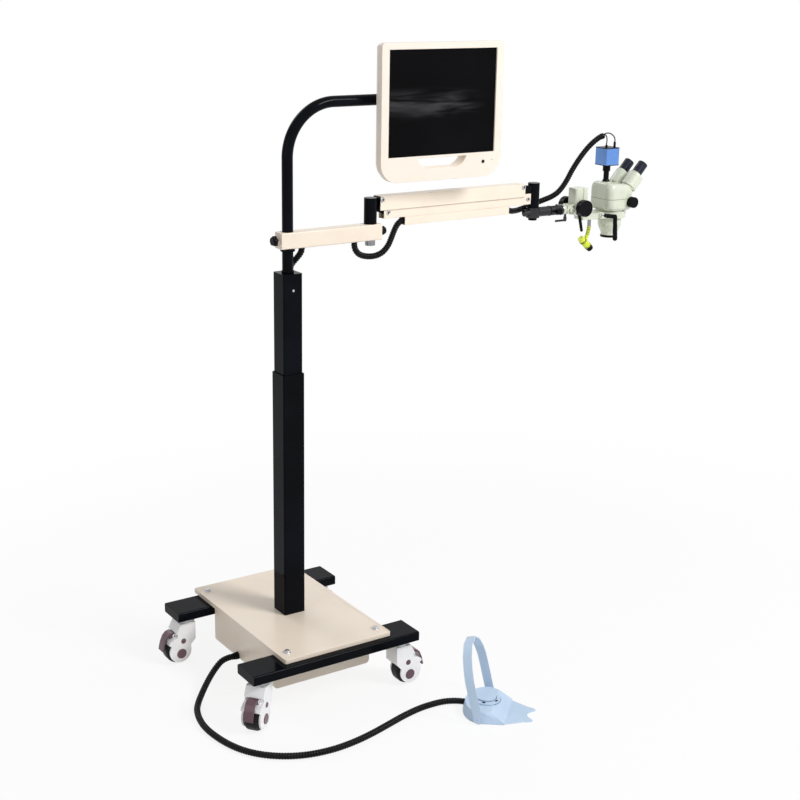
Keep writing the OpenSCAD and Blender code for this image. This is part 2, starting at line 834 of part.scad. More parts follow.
module arm_beam() {
    cavity = beam_reach - pole_d - 2 * beam_solid;
    whole = beam_back + beam_reach + beam_end;
    color(cream) difference() {
        union() {
            translate([-beam_back, 0, beam_z]) rotate([90, 0, 90]) linear_extrude(whole)
                translate([0, beam_h / 2]) rrect(beam_w, beam_h, beam_edge_r);
            translate([-beam_back - knob_boss, 0, knob_z]) xcyl(knob_boss_r, knob_boss + eps);
            translate([beam_reach + beam_end - eps, 0, knob_z]) xcyl(knob_boss_r, knob_boss + eps);
        }
        translate([0, 0, beam_z - eps]) cylinder(d = pole_d + 2 * fit, h = beam_h + 2 * eps);
        translate([beam_reach, 0, beam_z - eps]) cylinder(r = spindle_r + fit, h = beam_h + 2 * eps);
        translate([pole_d / 2 + beam_solid, steel - beam_w / 2, beam_z + steel])
            cube([cavity, beam_w - 2 * steel, beam_h - 2 * steel]);
        translate([-beam_back - knob_boss - eps, 0, knob_z]) xcyl(screw_r + fit, beam_back + knob_boss);
        translate([beam_reach, 0, knob_z]) xcyl(screw_r + fit, beam_end + knob_boss + eps);
    }
}

module pole_knob() {
    x = -beam_back - knob_boss - run;
    color(soft_black) translate([x, 0, knob_z]) {
        rotate(-plane) star(knob_r, knob_h, 5);
        translate([-eps, 0, 0]) xcyl(screw_r, -x - pole_d / 2 - screw_gap + eps);
    }
}

module post_knob() {
    x = beam_reach + beam_end + knob_boss + run;
    tip = beam_reach + spindle_r + run;
    color(soft_black) translate([x, 0, knob_z]) {
        rotate(plane) star(small_knob_r, knob_h, 6);
        translate([tip - x, 0, 0]) xcyl(screw_r, x - tip + eps);
    }
}

// Elbow, links and wrist, in the frame of the link arm
post_r = post_d / 2;
elbow_gap = 0.5;
elbow_z = beam_z + beam_h + elbow_gap;
up_x = 31;
up_rise = 69;
up_z = elbow_z + up_rise;
pivot_dx = 27;
pivot_dz = 41;
post_above = 7;
far_x = 64;
pin_r = 4;
pin_head_r = 6.5;
head_t = 2.5;
low_head_t = 2;
up_boss_r = 7.4;
low_boss_r = 7;
lug_t = 16;
lug_up_r = 6;
lug_low_r = 7;
lug_root = 3;
lug_root_t = 2;
elbow_lug_up = 4;
elbow_lug_low = 7;
wrist_lug_up = 2;
cover_wall = 2;
cover_up = 10;
wall_left = 7;
wall_right = 9;
top_left = 4;
top_right = 2;
inner_half = 13;
channel_up = 17;
channel_down = 17;
channel_left = 16;
channel_right = 13;
floor_left = 12;
floor_right = 9;
tray_x = 65;
tray_end = 83;
tray_h = 25;
tray_half = 14;
tray_mouth = 14;
tray_wall = 1.5;
tray_len = link_len - tray_x - tray_end;

wrist_along = up_x + link_len * cos(arm_drop) + far_x;
wrist_up_z = up_z - link_len * sin(arm_drop);
wrist_x = beam_reach + wrist_along * cos(arm_yaw);
wrist_y = wrist_along * sin(arm_yaw);

module in_arm() { translate([beam_reach, 0, 0]) rotate([0, 0, arm_yaw]) children(); }

module pin(x, z, half, boss, head) {
    cheek = cover_wall + 2 * fit;
    translate([x, 0, z]) {
        side_disc(boss, 2 * (half - cheek), 0);
        side_disc(pin_r, 2 * (half + head), 0);
        for (s = [-1, 1]) side_disc(pin_head_r, head, s * (half + fit + head / 2));
    }
}

// Lug between a post and its two pivots, with the pivot pins. The post is at x = 0
module pivot_lug(ux, uz, lx, lz, post_high, post_low) {
    side_plate(lug_t) hull() {
        translate([ux, uz]) circle(lug_up_r);
        translate([lx, lz]) circle(lug_low_r);
        translate([sign(ux) * (post_r - lug_root), post_low]) square([lug_root_t, post_high - post_low]);
    }
    pin(ux, uz, link_w / 2, up_boss_r, head_t);
    pin(lx, lz, inner_half, low_boss_r, low_head_t);
}

module elbow_post() {
    low_z = up_z - pivot_dz;
    color(gloss_black) {
        in_arm() {
            translate([0, 0, elbow_z]) cylinder(r = post_r, h = up_z + post_above - elbow_z);
            pivot_lug(up_x, up_z, up_x + pivot_dx, low_z, up_z + elbow_lug_up, low_z + elbow_lug_low);
        }
        translate([beam_reach, 0, beam_z - eps]) cylinder(r = spindle_r, h = beam_h + 2 * eps);
        translate([beam_reach, 0, beam_z - nut_h - run]) cylinder(r = nut_r, h = nut_h);
        translate([beam_reach, 0, beam_z - nut_h]) cylinder(r = spindle_r, h = nut_h);
    }
}

module upper_link() {
    half = link_w / 2;
    whole = link_len + wall_left + wall_right;
    top_z = cover_up - cover_wall;
    slot_t = cover_wall + 2 * fit + eps;
    color(cream) in_arm() translate([up_x, 0, up_z]) rotate([0, arm_drop, 0]) difference() {
        translate([-wall_left, -half, cover_up - cover_h]) cube([whole, link_w, cover_h]);
        translate([-wall_left - eps, cover_wall - half, cover_up - cover_h - eps])
            cube([whole + 2 * eps, link_w - 2 * cover_wall, cover_h - cover_wall + eps]);
        translate([-wall_left - eps, -half - eps, top_z - fit])
            cube([wall_left - top_left + eps, link_w + 2 * eps, slot_t]);
        translate([link_len + top_right, -half - eps, top_z - fit])
            cube([wall_right - top_right + eps, link_w + 2 * eps, slot_t]);
        for (x = [0, link_len]) translate([x, 0, 0]) side_disc(pin_r + fit, link_w + 2 * eps, 0);
    }
}

module lower_link() {
    half = inner_half;
    inside = 2 * (half - cover_wall);
    whole = link_len + channel_left + channel_right;
    color(cream) in_arm() translate([up_x + pivot_dx, 0, up_z - pivot_dz]) rotate([0, arm_drop, 0])
        difference() {
            union() {
                difference() {
                    translate([-channel_left, -half, -channel_down])
                        cube([whole, 2 * half, channel_up + channel_down]);
                    translate([-channel_left - eps, -inside / 2, cover_wall - channel_down])
                        cube([whole + 2 * eps, inside, channel_up + channel_down]);
                    translate([-channel_left - eps, -inside / 2, -channel_down - eps])
                        cube([channel_left - floor_left + eps, inside, channel_down]);
                    translate([link_len + floor_right, -inside / 2, -channel_down - eps])
                        cube([channel_right - floor_right + eps, inside, channel_down]);
                }
                translate([tray_x, -tray_half, -channel_down - tray_h])
                    cube([tray_len, 2 * tray_half, tray_h]);
            }
            for (x = [tray_x - eps, tray_x + tray_len - tray_mouth])
                translate([x, tray_wall - tray_half, tray_wall - channel_down - tray_h])
                    cube([tray_mouth + eps, 2 * (tray_half - tray_wall), tray_h - 2 * tray_wall]);
            for (x = [0, link_len]) translate([x, 0, 0]) side_disc(pin_r + fit, 2 * half + 2 * eps, 0);
        }
}

hub_r = 22;
hub_drop = 0.4;
hub_z = beam_z - hub_drop;
hub_h = 33;
wrist_spindle_r = 9;
wrist_nut_r = 14;
wrist_nut_h = 8;

module wrist_post() {
    low_z = wrist_up_z - pivot_dz;
    post_z = hub_z + hub_h;
    color(gloss_black) in_arm() translate([wrist_along, 0, 0]) {
        translate([0, 0, post_z]) cylinder(r = post_r, h = wrist_up_z + post_above - post_z);
        pivot_lug(-far_x, wrist_up_z, pivot_dx - far_x, low_z, wrist_up_z - wrist_lug_up,
            low_z - wrist_lug_up);
        translate([0, 0, hub_z - eps]) cylinder(r = wrist_spindle_r, h = hub_h + 2 * eps);
        translate([0, 0, hub_z - wrist_nut_h - run]) cylinder(r = wrist_nut_r, h = wrist_nut_h);
        translate([0, 0, hub_z - wrist_nut_h]) cylinder(r = wrist_spindle_r, h = wrist_nut_h);
    }
}

// Head. Local frame: x and y from the wrist axis, z from the floor
module in_head() { translate([wrist_x, wrist_y, 0]) children(); }

arm_up = 16;
arm_z = hub_z + arm_up;
tube_r = tube_d / 2;
tube_root = 6;
stub_r = 11;
stub_len = 20;
stub_out = 14;
sleeve_end = 22;
sleeve_rim = 1;
spigot_r = 10;
spigot_len = 38;
spigot_gap = 2;
clamp_back = 31;
clamp_x = short_len - clamp_back;
clamp_r = 8;
clamp_len = 10;
clamp_out = 4;
clamp_screw_r = 3;
nipple_dx = 9;
nipple_r = 3.5;
nipple_h = 6;
nipple_root = 2;
roll_knob_r = 12;
roll_knob_h = 13;

module short_arm() {
    color(grey) in_head() difference() {
        union() {
            translate([0, 0, hub_z]) cylinder(r = hub_r, h = hub_h - run);
            translate([hub_r - tube_root, 0, arm_z]) xcyl(tube_r, short_len - hub_r + tube_root);
            translate([-hub_r - stub_out, 0, arm_z]) xcyl(stub_r, stub_len);
            translate([short_len - sleeve_end, 0, arm_z]) xcyl(tube_r + sleeve_rim, sleeve_end);
            translate([clamp_x, -tube_r - clamp_out, arm_z]) ycyl(clamp_r, clamp_len);
            translate([clamp_x + nipple_dx, 0, arm_z + tube_r - nipple_root])
                cylinder(r = nipple_r, h = nipple_h);
        }
        translate([0, 0, hub_z - eps]) cylinder(r = wrist_spindle_r + fit, h = hub_h + 2 * eps);
        translate([short_len - spigot_len - spigot_gap, 0, arm_z])
            xcyl(spigot_r + fit, spigot_len + spigot_gap + eps);
        translate([clamp_x, -tube_r - clamp_out - eps, arm_z]) ycyl(clamp_screw_r + fit, tube_r);
    }
}

module roll_knob() {
    color(soft_black) in_head() translate([clamp_x, -tube_r - clamp_out - run, arm_z]) {
        rotate([90, 0, 0]) star(roll_knob_r, roll_knob_h, 5);
        translate([0, -eps, 0]) ycyl(clamp_screw_r, tube_r + clamp_out - spigot_r + eps);
    }
}

sleeve_r = 16.5;
sleeve_len = 9;
tilt_out = 26;
tilt_x = short_len + tilt_out;
tongue_t = 15.2;
tongue_r = 14;
cheek_out = 17;
cheek_tilt_r = 16;
tilt_pin_r = 5;
tilt_pin_end = 2;
tilt_head_r = 7;
tilt_head_t = 2;
lever_back = 10;
lever_x = tilt_x - lever_back;
lever_stem_r = 4;
lever_hole = 6;
lever_drop = 36;
lever_len = 38;
lever_r = 3.5;
lever_foot = 4;
lever_collar_r = 5.5;
lever_collar_h = 12;

module tilt_joint() {
    color(scope_green) in_head() difference() {
        union() {
            translate([short_len - spigot_len, 0, arm_z]) xcyl(spigot_r, spigot_len + eps);
            translate([short_len + run, 0, arm_z]) xcyl(sleeve_r, sleeve_len - run);
            translate([short_len + eps, -tongue_t / 2, arm_z - tongue_r])
                cube([tilt_x - short_len - eps, tongue_t, 2 * tongue_r]);
            translate([tilt_x, 0, arm_z]) side_disc(tongue_r, tongue_t, 0);
        }
        translate([tilt_x, 0, arm_z]) side_disc(tilt_pin_r + fit, 2 * tongue_t, 0);
        translate([lever_x, 0, arm_z - tongue_r - eps])
            cylinder(r = lever_stem_r + fit, h = lever_hole + eps);
    }
}

module tilt_lever() {
    color(soft_black) in_head() translate([lever_x, 0, arm_z - lever_drop]) {
        translate([0, 0, -lever_foot])
            cylinder(r = lever_stem_r, h = lever_drop - tongue_r + lever_foot + lever_hole - eps);
        translate([0, 0, -eps]) cylinder(r = lever_collar_r, h = lever_collar_h);
        translate([-lever_len, 0, 0]) xcyl(lever_r, lever_len);
        translate([-lever_len, 0, 0]) sphere(lever_r);
    }
}

block_gap = 41;
block_x = short_len + block_gap;
block_l = 31;
block_w = 44;
block_drop = 23;
block_z = arm_z - block_drop;
block_h = 90;
block_top = block_z + block_h;
knob_dx = 17;
knob_x = block_x + knob_dx;
knob_dz = 29;
focus_z = block_z + knob_dz;
shaft_r = 4;
pinion_r = 7.2;
pinion_gap = 3;
rack_w = 18;
rack_t = 6.5;
block_chamfer = 12;
facet = 5;
slide_gap = 0.4;
cheek_root = 8;
grip_dx = 10;
grip_dz = 11;
lever_pin_r = 3;
lever_pin_in = 9;
focus_neck = 12;
focus_neck_r = 9;
focus_grip = 22;
grip_boss_r = 7;
grip_boss_t = 11;
grip_y = 5.9;
grip_lean = 166;
grip_root_r = 5.4;
grip_end_r = 4.8;
grip_len = 59;

// Upright block with cut corners
module faceted(w, l, h, c) {
    linear_extrude(h) polygon([[c, -l / 2], [w - c / 2, -l / 2], [w, c / 2 - l / 2], [w, l / 2 - c / 2],
        [w - c / 2, l / 2], [c, l / 2], [0, l / 2 - c], [0, c - l / 2]]);
}

module focus_block() {
    cheek_t = cheek_out - tongue_t / 2 - run;
    corner = block_chamfer + 2 * eps;
    color(scope_green) in_head() difference() {
        union() {
            translate([block_x, 0, block_z]) faceted(block_l, block_w, block_h, facet);
            for (s = [-1, 1]) translate([0, s * (cheek_out + tongue_t / 2 + run) / 2, 0])
                side_plate(cheek_t) union() {
                    translate([tilt_x, arm_z]) circle(cheek_tilt_r);
                    translate([tilt_x, arm_z - cheek_tilt_r])
                        square([block_x + cheek_root - tilt_x, 2 * cheek_tilt_r]);
                }
            translate([tilt_x, 0, arm_z]) side_disc(tilt_pin_r, 2 * (cheek_out + tilt_pin_end), 0);
            for (s = [-1, 1]) translate([tilt_x, 0, arm_z])
                side_disc(tilt_head_r, tilt_head_t, s * (cheek_out + tilt_head_t / 2));
        }
        translate([block_x - eps, -block_w, block_z - eps]) rotate([-90, 0, 0])
            linear_extrude(2 * block_w) polygon([[0, 0], [0, -corner], [corner, 0]]);
        translate([knob_x, 0, focus_z]) side_disc(shaft_r + fit, 2 * block_w, 0);
        translate([block_x + grip_dx, -block_w, block_z + grip_dz])
            ycyl(lever_pin_r + fit, block_w / 2 + lever_pin_in);
        translate([knob_x, 0, focus_z]) side_disc(pinion_r + run, rack_w - 2 * pinion_gap, 0);
        translate([block_x + block_l - rack_t - fit, -rack_w / 2 - fit, block_z - eps])
            cube([rack_t + fit + eps, rack_w + 2 * fit, block_h + 2 * eps]);
    }
}

module focus_knobs() {
    reach = block_w / 2 + focus_neck;
    color(soft_black) in_head() translate([knob_x, 0, focus_z]) {
        side_disc(shaft_r, 2 * reach, 0);
        side_disc(pinion_r, rack_w - 2 * pinion_gap - 2 * run, 0);
        for (s = [-1, 1]) {
            side_disc(focus_neck_r, focus_neck, s * (block_w / 2 + run + focus_neck / 2));
            side_disc(focus_d / 2, focus_grip, s * (reach + focus_grip / 2));
        }
    }
}

module slide_lever() {
    color(soft_black) in_head()
        translate([block_x + grip_dx, -block_w / 2 - run, block_z + grip_dz]) {
            rotate([90, 0, 0]) cylinder(r = grip_boss_r, h = grip_boss_t);
            translate([0, -eps, 0]) ycyl(lever_pin_r, lever_pin_in);
            translate([0, -grip_y, 0]) rotate([0, grip_lean, 0]) {
                cylinder(r1 = grip_root_r, r2 = grip_end_r, h = grip_len);
                translate([0, 0, grip_len]) sphere(grip_end_r);
            }
        }
}

ring_reach = 210;
ring_x = short_len + ring_reach;
ring_drop = 22;
ring_z = hub_z - ring_drop;
ring_h = 21;
slide_x = block_x + block_l + slide_gap;
slide_l = 21.5;
slide_root = 2;
boss_back = 66;
lever_boss_x = ring_x - boss_back;
boss_under = 6;
lever_z = ring_z + ring_h - boss_under;
lever_boss_r = 8;
lever_boss_out = 5;
lever_boss_l = 10;
lever_bore_l = 24;
bridge_w = 60;
bridge_back = 12;
bridge_fore = 20;
ring_root_x = 20;
ring_root_y = 6;
lamp_back = 89;
lamp_x = ring_x - lamp_back;
lamp_r = 6;
lamp_hole = 12;

module ring_carrier() {
    slide_h = block_top - ring_z;
    bridge = [[slide_x + slide_root, block_w / 2 - slide_root], [lever_boss_x - bridge_back, bridge_w / 2],
        [lever_boss_x + bridge_fore, bridge_w / 2], [ring_x - ring_root_x, ring_od / 2 - ring_root_y]];
    color(scope_green) in_head() difference() {
        union() {
            translate([slide_x + slide_l, 0, ring_z]) mirror([1, 0, 0])
                faceted(slide_l, block_w, slide_h, facet);
            translate([slide_x - rack_t - slide_gap + fit, -rack_w / 2, block_z])
                cube([rack_t + eps + slide_gap, rack_w, block_h]);
            translate([ring_x, 0, ring_z]) cylinder(d = ring_od, h = ring_h);
            translate([0, 0, ring_z]) linear_extrude(ring_h)
                polygon(concat([for (p = bridge) [p[0], -p[1]]],
                    [for (i = [len(bridge) - 1:-1:0]) bridge[i]]));
            translate([lever_boss_x, -bridge_w / 2 - lever_boss_out, lever_z])
                ycyl(lever_boss_r, lever_boss_l);
        }
        translate([ring_x, 0, ring_z - eps]) cylinder(d = ring_d, h = ring_h + 2 * eps);
        translate([lever_boss_x, -bridge_w / 2 - lever_boss_out - eps, lever_z])
            ycyl(ring_pin_r + fit, lever_bore_l);
        translate([lamp_x, 0, ring_z - eps]) cylinder(r = lamp_r + fit, h = lamp_hole + eps);
    }
}

ring_pin_r = 3;
ring_pin_in = 18;
ring_pin_out = 22;
ring_collar_r = 7;
ring_collar_out = 30;
ring_collar_l = 14;
ring_arm_r = 7;
ring_arm_y = 26;
ring_elbow = [22, -40, -2];
ring_tip = [27, -40, -75];
ring_tip_r = 8;

module ring_lever() {
    y = -bridge_w / 2 - lever_boss_out - run;
    color(soft_black) in_head() translate([lever_boss_x, y, lever_z]) {
        translate([0, -ring_pin_out, 0]) ycyl(ring_pin_r, ring_pin_out + ring_pin_in);
        translate([0, -ring_collar_out, 0]) ycyl(ring_collar_r, ring_collar_l);
        hull() {
            translate([0, -ring_arm_y, 0]) sphere(ring_arm_r, $fn = 24);
            translate(ring_elbow) sphere(ring_arm_r, $fn = 24);
        }
        hull() {
            translate(ring_elbow) sphere(ring_arm_r, $fn = 24);
            translate(ring_tip) sphere(ring_tip_r, $fn = 24);
        }
    }
}

// Microscope body: a lower and an upper shell that meet at a narrow seam
body_gap = 5;
body_z = ring_z + ring_h + body_gap;
body_top = body_z + scope_h;
seam_up = 37;
seam_z = body_z + seam_up;
seam_gap = 0.4;
seam_inset = 0.8;
seam_t = 4;
body_corner = 22;
foot_inset = 5;
body_foot_t = 4;
foot_rise = 8;
top_round = 24;
top_inset = 14;
top_shift = 3;
top_tilt = 5;
body_dx = 2.5;
body_x = ring_x + body_dx;
top_layers = 4;
neck_scope_r = ring_d / 2 - fit;
flange_r = 46;
flange_t = 6;
neck_up = 4;
zoom_dx = 40;
zoom_dz = 26;
zoom_x = ring_x + zoom_dx;
zoom_z = body_z + zoom_dz;
zoom_r = 18;
zoom_grip = 18;
zoom_shaft_r = 4;
zoom_past = 2;
groove_r = 1.6;
groove_out = 0.6;
groove_end = 4;
grooves = 18;
cam_seat_r = 15;
cam_seat_t = 7.7;
cam_seat_in = 3;
cam_bore_in = 6;

// Directions of the eyepieces: along the tubes, in the X-Z plane
eye_lift = 48;
eye_dx = 42;
eye_drop = 17.6;
eye_x = ring_x + eye_dx;
eye_z = body_top - eye_drop;
prism_y = 31;
prism_r = 26.5;
prism_len = 54;
prism_start = 4;
prism_end = 6;
prism_cone = 3;
prism_rim = 2.5;
seat_inset = 3;
seat_gap = 0.6;
seat_deep = 60;
ocular_r = 17;
ocular_len = 42;
ocular_spigot_r = 11.5;
ocular_side = eye_gap / 2 - prism_y;
ocular_rise = 5;
ocular_in = 15.5;
spigot_play = 4;
holder_rim = 1;
band_z = 12;
band_t = 3;
band_inset = 0.8;
lip_t = 2;
lip_inset = 1.5;
cup_t = 6;
cup_r = 13;
glass_r = 9;

module at_eye(s) {
    translate([eye_x, s * prism_y, eye_z]) rotate([0, 90 - eye_lift, 0]) children();
}

module body_layer(inset, shift, z, t, tilt = 0) {
    translate([body_x - shift, 0, z]) rotate([0, tilt, 0])
        rblock(scope_l - 2 * inset, scope_w - 2 * inset, t, body_corner, $fn = 32);
}

module scope_body() {
    color(scope_green) in_head() difference() {
        union() {
            hull() {
                body_layer(foot_inset, 0, body_z, body_foot_t);
                body_layer(0, 0, body_z + foot_rise, seam_up - foot_rise - seam_gap);
            }
            body_layer(seam_inset, 0, seam_z - seam_t / 2, seam_t);
            hull() {
                body_layer(0, 0, seam_z + seam_gap, eps);
                for (k = [0:top_layers]) let (a = 90 * k / top_layers)
                    body_layer(top_inset * (1 - cos(a)), top_shift * sin(a),
                        body_top - top_round + top_round * sin(a) - eps, eps, top_tilt * sin(a));
            }
            translate([ring_x, 0, ring_z + ring_h + run]) cylinder(r = flange_r, h = flange_t);
            translate([ring_x, 0, ring_z - eps]) cylinder(r = neck_scope_r, h = ring_h + neck_up);
            for (s = [-1, 1]) at_eye(s) cylinder(r = prism_r - seat_inset, h = prism_start - run);
            translate([camera_x, 0, body_top - cam_seat_in]) cylinder(r = cam_seat_r, h = cam_seat_t);
        }
        for (s = [-1, 1]) at_eye(s) difference() {
            translate([0, 0, -fit]) cylinder(r = prism_r + seat_gap, h = seat_deep);
            translate([0, 0, -eps]) cylinder(r = prism_r - seat_inset, h = prism_start - run + eps);
        }
        translate([zoom_x, 0, zoom_z]) side_disc(zoom_shaft_r + fit, 2 * scope_w, 0);
        translate([camera_x, 0, body_top - cam_bore_in]) cylinder(r = tail_r + fit, h = 2 * cam_bore_in);
    }
}

module zoom_knobs() {
    groove_l = zoom_grip - groove_end;
    color(soft_black) in_head() translate([zoom_x, 0, zoom_z]) {
        side_disc(zoom_shaft_r, scope_w + 2 * zoom_past, 0);
        for (s = [-1, 1]) let (y = s * (scope_w / 2 + run + zoom_grip / 2)) difference() {
            side_disc(zoom_r, zoom_grip, y);
            for (i = [0:grooves - 1]) rotate([0, 360 * i / grooves, 0])
                translate([zoom_r + groove_out, y - zoom_grip / 2 - eps, 0])
                    ycyl(groove_r, groove_l, $fn = 8);
        }
    }
}

// Half of the objective's section, in the radius of its neck and its height
objective_h = 67;
objective_shares = [[0.99, 0], [1.02, -0.04], [1.02, -0.3], [1, -0.4], [0.95, -0.5], [0.87, -0.6],
    [0.78, -0.7], [0.72, -0.8], [0.71, -0.86], [0.74, -0.88], [0.74, -1], [0.64, -1], [0.6, -0.9],
    [0, -0.9]];

module objective() {
    top = ring_z - eps - run;
    color(scope_green) in_head() translate([ring_x, 0, 0]) rotate_extrude()
        polygon(concat([[0, top]], placed(objective_shares, 0, top, neck_scope_r, objective_h)));
}

module prism(s) {
    holder_z = prism_start + prism_len - prism_end;
    color(scope_green) in_head() at_eye(s) difference() {
        union() {
            translate([0, 0, prism_start]) cylinder(r = prism_r, h = prism_len - prism_end);
            translate([0, 0, holder_z]) cylinder(r1 = prism_r, r2 = prism_r - prism_rim, h = prism_cone);
            translate([-ocular_rise, s * ocular_side, holder_z])
                cylinder(r = ocular_r + holder_rim, h = prism_end);
        }
        translate([-ocular_rise, s * ocular_side, holder_z + prism_end - ocular_in - run])
            cylinder(r = ocular_spigot_r + fit, h = ocular_in + run + eps);
    }
}

module ocular(s) {
    color(soft_black) in_head() at_eye(s)
        translate([-ocular_rise, s * ocular_side, prism_start + prism_len]) difference() {
            union() {
                translate([0, 0, -ocular_in]) cylinder(r = ocular_spigot_r, h = ocular_in + spigot_play);
                translate([0, 0, run]) cylinder(r = ocular_r, h = band_z);
                translate([0, 0, band_z]) cylinder(r = ocular_r - band_inset, h = band_t);
                translate([0, 0, band_z + lip_t]) cylinder(r = ocular_r, h = ocular_len - band_z - 2 * lip_t);
                translate([0, 0, ocular_len - lip_t])
                    cylinder(r1 = ocular_r, r2 = ocular_r - lip_inset, h = lip_t);
            }
            translate([0, 0, ocular_len - cup_t]) cylinder(r1 = glass_r, r2 = cup_r, h = cup_t + least);
        }
}

camera_back = 26;
camera_x = ring_x - camera_back;
tail_r = 9.5;
tail_in = 4;
tail_end = 6;
foot_ring_r = 13;
foot_ring_gap = 5;
foot_ring_h = 8;
waist_r = 9;
waist_up = 40;
mount_r = 12.5;
camera_up = 59;
camera_z = body_top + camera_up;
plate_cam_t = 2.5;
plate_rim = 0.3;
camera_edge_r = 3;
lead_r = 1.8;
plug_r = 4;
plug_h = 7;
tall_plug_h = 18;
lead_a_back = 6;
lead_b_dx = 14;
lead_b_y = -17;

module camera() {
    shell = camera_h - 2 * plate_cam_t;
    color(camera_blue) in_head() translate([camera_x, 0, 0]) {
        translate([0, 0, body_top - tail_in]) cylinder(r = tail_r, h = tail_in + tail_end);
        translate([0, 0, body_top + foot_ring_gap]) cylinder(r1 = foot_ring_r, r2 = tail_r, h = foot_ring_h);
        translate([0, 0, body_top + tail_end]) cylinder(r = waist_r, h = waist_up - tail_end);
        translate([0, 0, body_top + waist_up - eps])
            cylinder(r = mount_r, h = camera_z - body_top - waist_up + 2 * eps);
        translate([0, 0, camera_z + plate_cam_t]) rblock(camera_w, camera_w, shell, camera_edge_r);
        for (z = [camera_z, camera_z + camera_h - plate_cam_t]) translate([0, 0, z])
            rblock(camera_w + 2 * plate_rim, camera_w + 2 * plate_rim, plate_cam_t, camera_edge_r);
        translate([-lead_a_back, 0, camera_z + camera_h]) cylinder(r = plug_r, h = plug_h);
        translate([lead_b_dx, lead_b_y, camera_z + camera_h]) cylinder(r = plug_r, h = tall_plug_h);
    }
}

// Lamp: ferrule, jointed neck and head
neck_links = 7;
neck_drop = 26;
neck_h = 37;
neck_lean = 10;
neck_len = 38;
lamp_link_r = 6;
link_flare = 0.8;
link_taper = 0.6;
lamp_tongue = 18;
tongue_back = 3;
tongue_half = 5;
lamp_tongue_t = 8;
lamp_head_r = 12;
lamp_tail = 27;
lamp_tail_h = 14;
lamp_band_h = 28;
lamp_nose_h = 19;
lamp_turn = 131;
lamp_pin_r = 2;
lamp_pin_end = 1;
lamp_slot_play = 0.3;
lamp_slot = [[-7, -7], [7, -7], [22, 24], [-22, 24]];

function neck_at(t) = [lamp_x - neck_lean * t * t, 0, ring_z - neck_drop - neck_len * t];
lamp_pivot = neck_at(1) - [tongue_back, 0, lamp_tongue];

module lamp_neck() {
    e = neck_at(1);
    p = lamp_pivot;
    color(lamp_green) in_head() {
        translate([lamp_x, 0, ring_z - neck_drop]) cylinder(r = lamp_r, h = neck_h);
        for (i = [0:neck_links - 1])
            let (a = neck_at(i / neck_links), b = neck_at((i + 1) / neck_links))
                translate(a) rotate([0, atan2(b[0] - a[0], b[2] - a[2]), 0])
                    cylinder(r1 = lamp_link_r + link_flare, r2 = lamp_link_r - link_taper,
                        h = norm(b - a) + link_taper);
        side_plate(lamp_tongue_t) polygon([[e[0] - tongue_half, e[2] + eps], [e[0] + tongue_half, e[2] + eps],
            [p[0] + tongue_half, p[2]], [p[0] - tongue_half, p[2]]]);
        translate(p) {
            side_disc(tongue_half, lamp_tongue_t, 0);
            side_disc(lamp_pin_r, 2 * (lamp_head_r - lamp_pin_end), 0);
        }
    }
}

module lamp_head() {
    color(lamp_green) in_head() translate(lamp_pivot) difference() {
        rotate([0, lamp_turn, 0]) translate([0, 0, -lamp_tail]) {
            cylinder(r = lamp_head_r - lamp_pin_end, h = lamp_tail_h);
            translate([0, 0, lamp_tail_h - eps]) cylinder(r = lamp_head_r, h = lamp_band_h);
            translate([0, 0, lamp_tail_h + lamp_band_h - 2 * eps])
                cylinder(r1 = lamp_head_r + lamp_pin_end, r2 = lamp_head_r - lamp_pin_end, h = lamp_nose_h);
        }
        side_plate(lamp_tongue_t + 2 * lamp_slot_play) polygon(lamp_slot);
        side_disc(lamp_pin_r + fit, 2 * (lamp_head_r + lamp_pin_end), 0);
    }
}

// Hoses on the arms. The first two start at the column, the third at the wrist's axis, and the
// heights are from the top of the inner column
arm_hose_r = 8.7;
arm_root_r = 7.7;
arm_bore_r = 5.5;

pole_route = [[21, -21, 0], [21, -21, 10], [23, -19, 22], [30, -13, 37], [38, -9, 51],
    [41, -8, 61], [41, -8, 69.4]];

module pole_hose() {
    color(soft_black) translate([0, 0, inner_top])
        ribbed_hose(pole_route, 14, arm_hose_r, arm_root_r, arm_bore_r, 9, hose_side);
}

elbow_route = [[-54, 0, 69.4], [-54, 0, 58], [-50, 0, 44], [-39, 0, 31], [-21, 1, 23],
    [2, 2, 19], [26, 3, 20], [50, 6, 28], [69, 8, 45], [81, 10, 65],
    [91, 11, 85], [101, 12, 101], [112, 13.4, 110], [122, 14.5, 113.6], [132, 15.7, 113.8]];

module elbow_hose() {
    color(soft_black) translate([beam_reach, 0, inner_top])
        ribbed_hose(elbow_route, 34, arm_hose_r, arm_root_r, arm_bore_r, 20);
}

head_route = [[-129.6, -15.5, 105.2], [-119.6, -14.3, 105], [-108, -12, 102], [-90, -4, 97],
    [-68, 10, 94], [-44, 24, 92], [-18, 33, 94], [10, 35, 99], [40, 34, 108], [70, 32, 116],
    [98, 30, 124], [122, 28, 136], [142, 26, 155], [158, 23, 179], [172, 20, 205], [188, 16, 231],
    [206, 12, 256], [226, 8, 279], [246, 4, 297], [266, 1, 310], [283, 0, 315]];

lead_a_route = [[281, 0, 316], [290, 0, 317], [297, 0, 310], [299, 0, 299], [298, 0, 289],
    [298, 0, 284]];
lead_b_route = [[281, -1, 318], [292, -3, 323], [304, -8, 322], [314, -14, 314], [318, -17, 304],
    [318, -17, 295]];
lead_sides = 6;

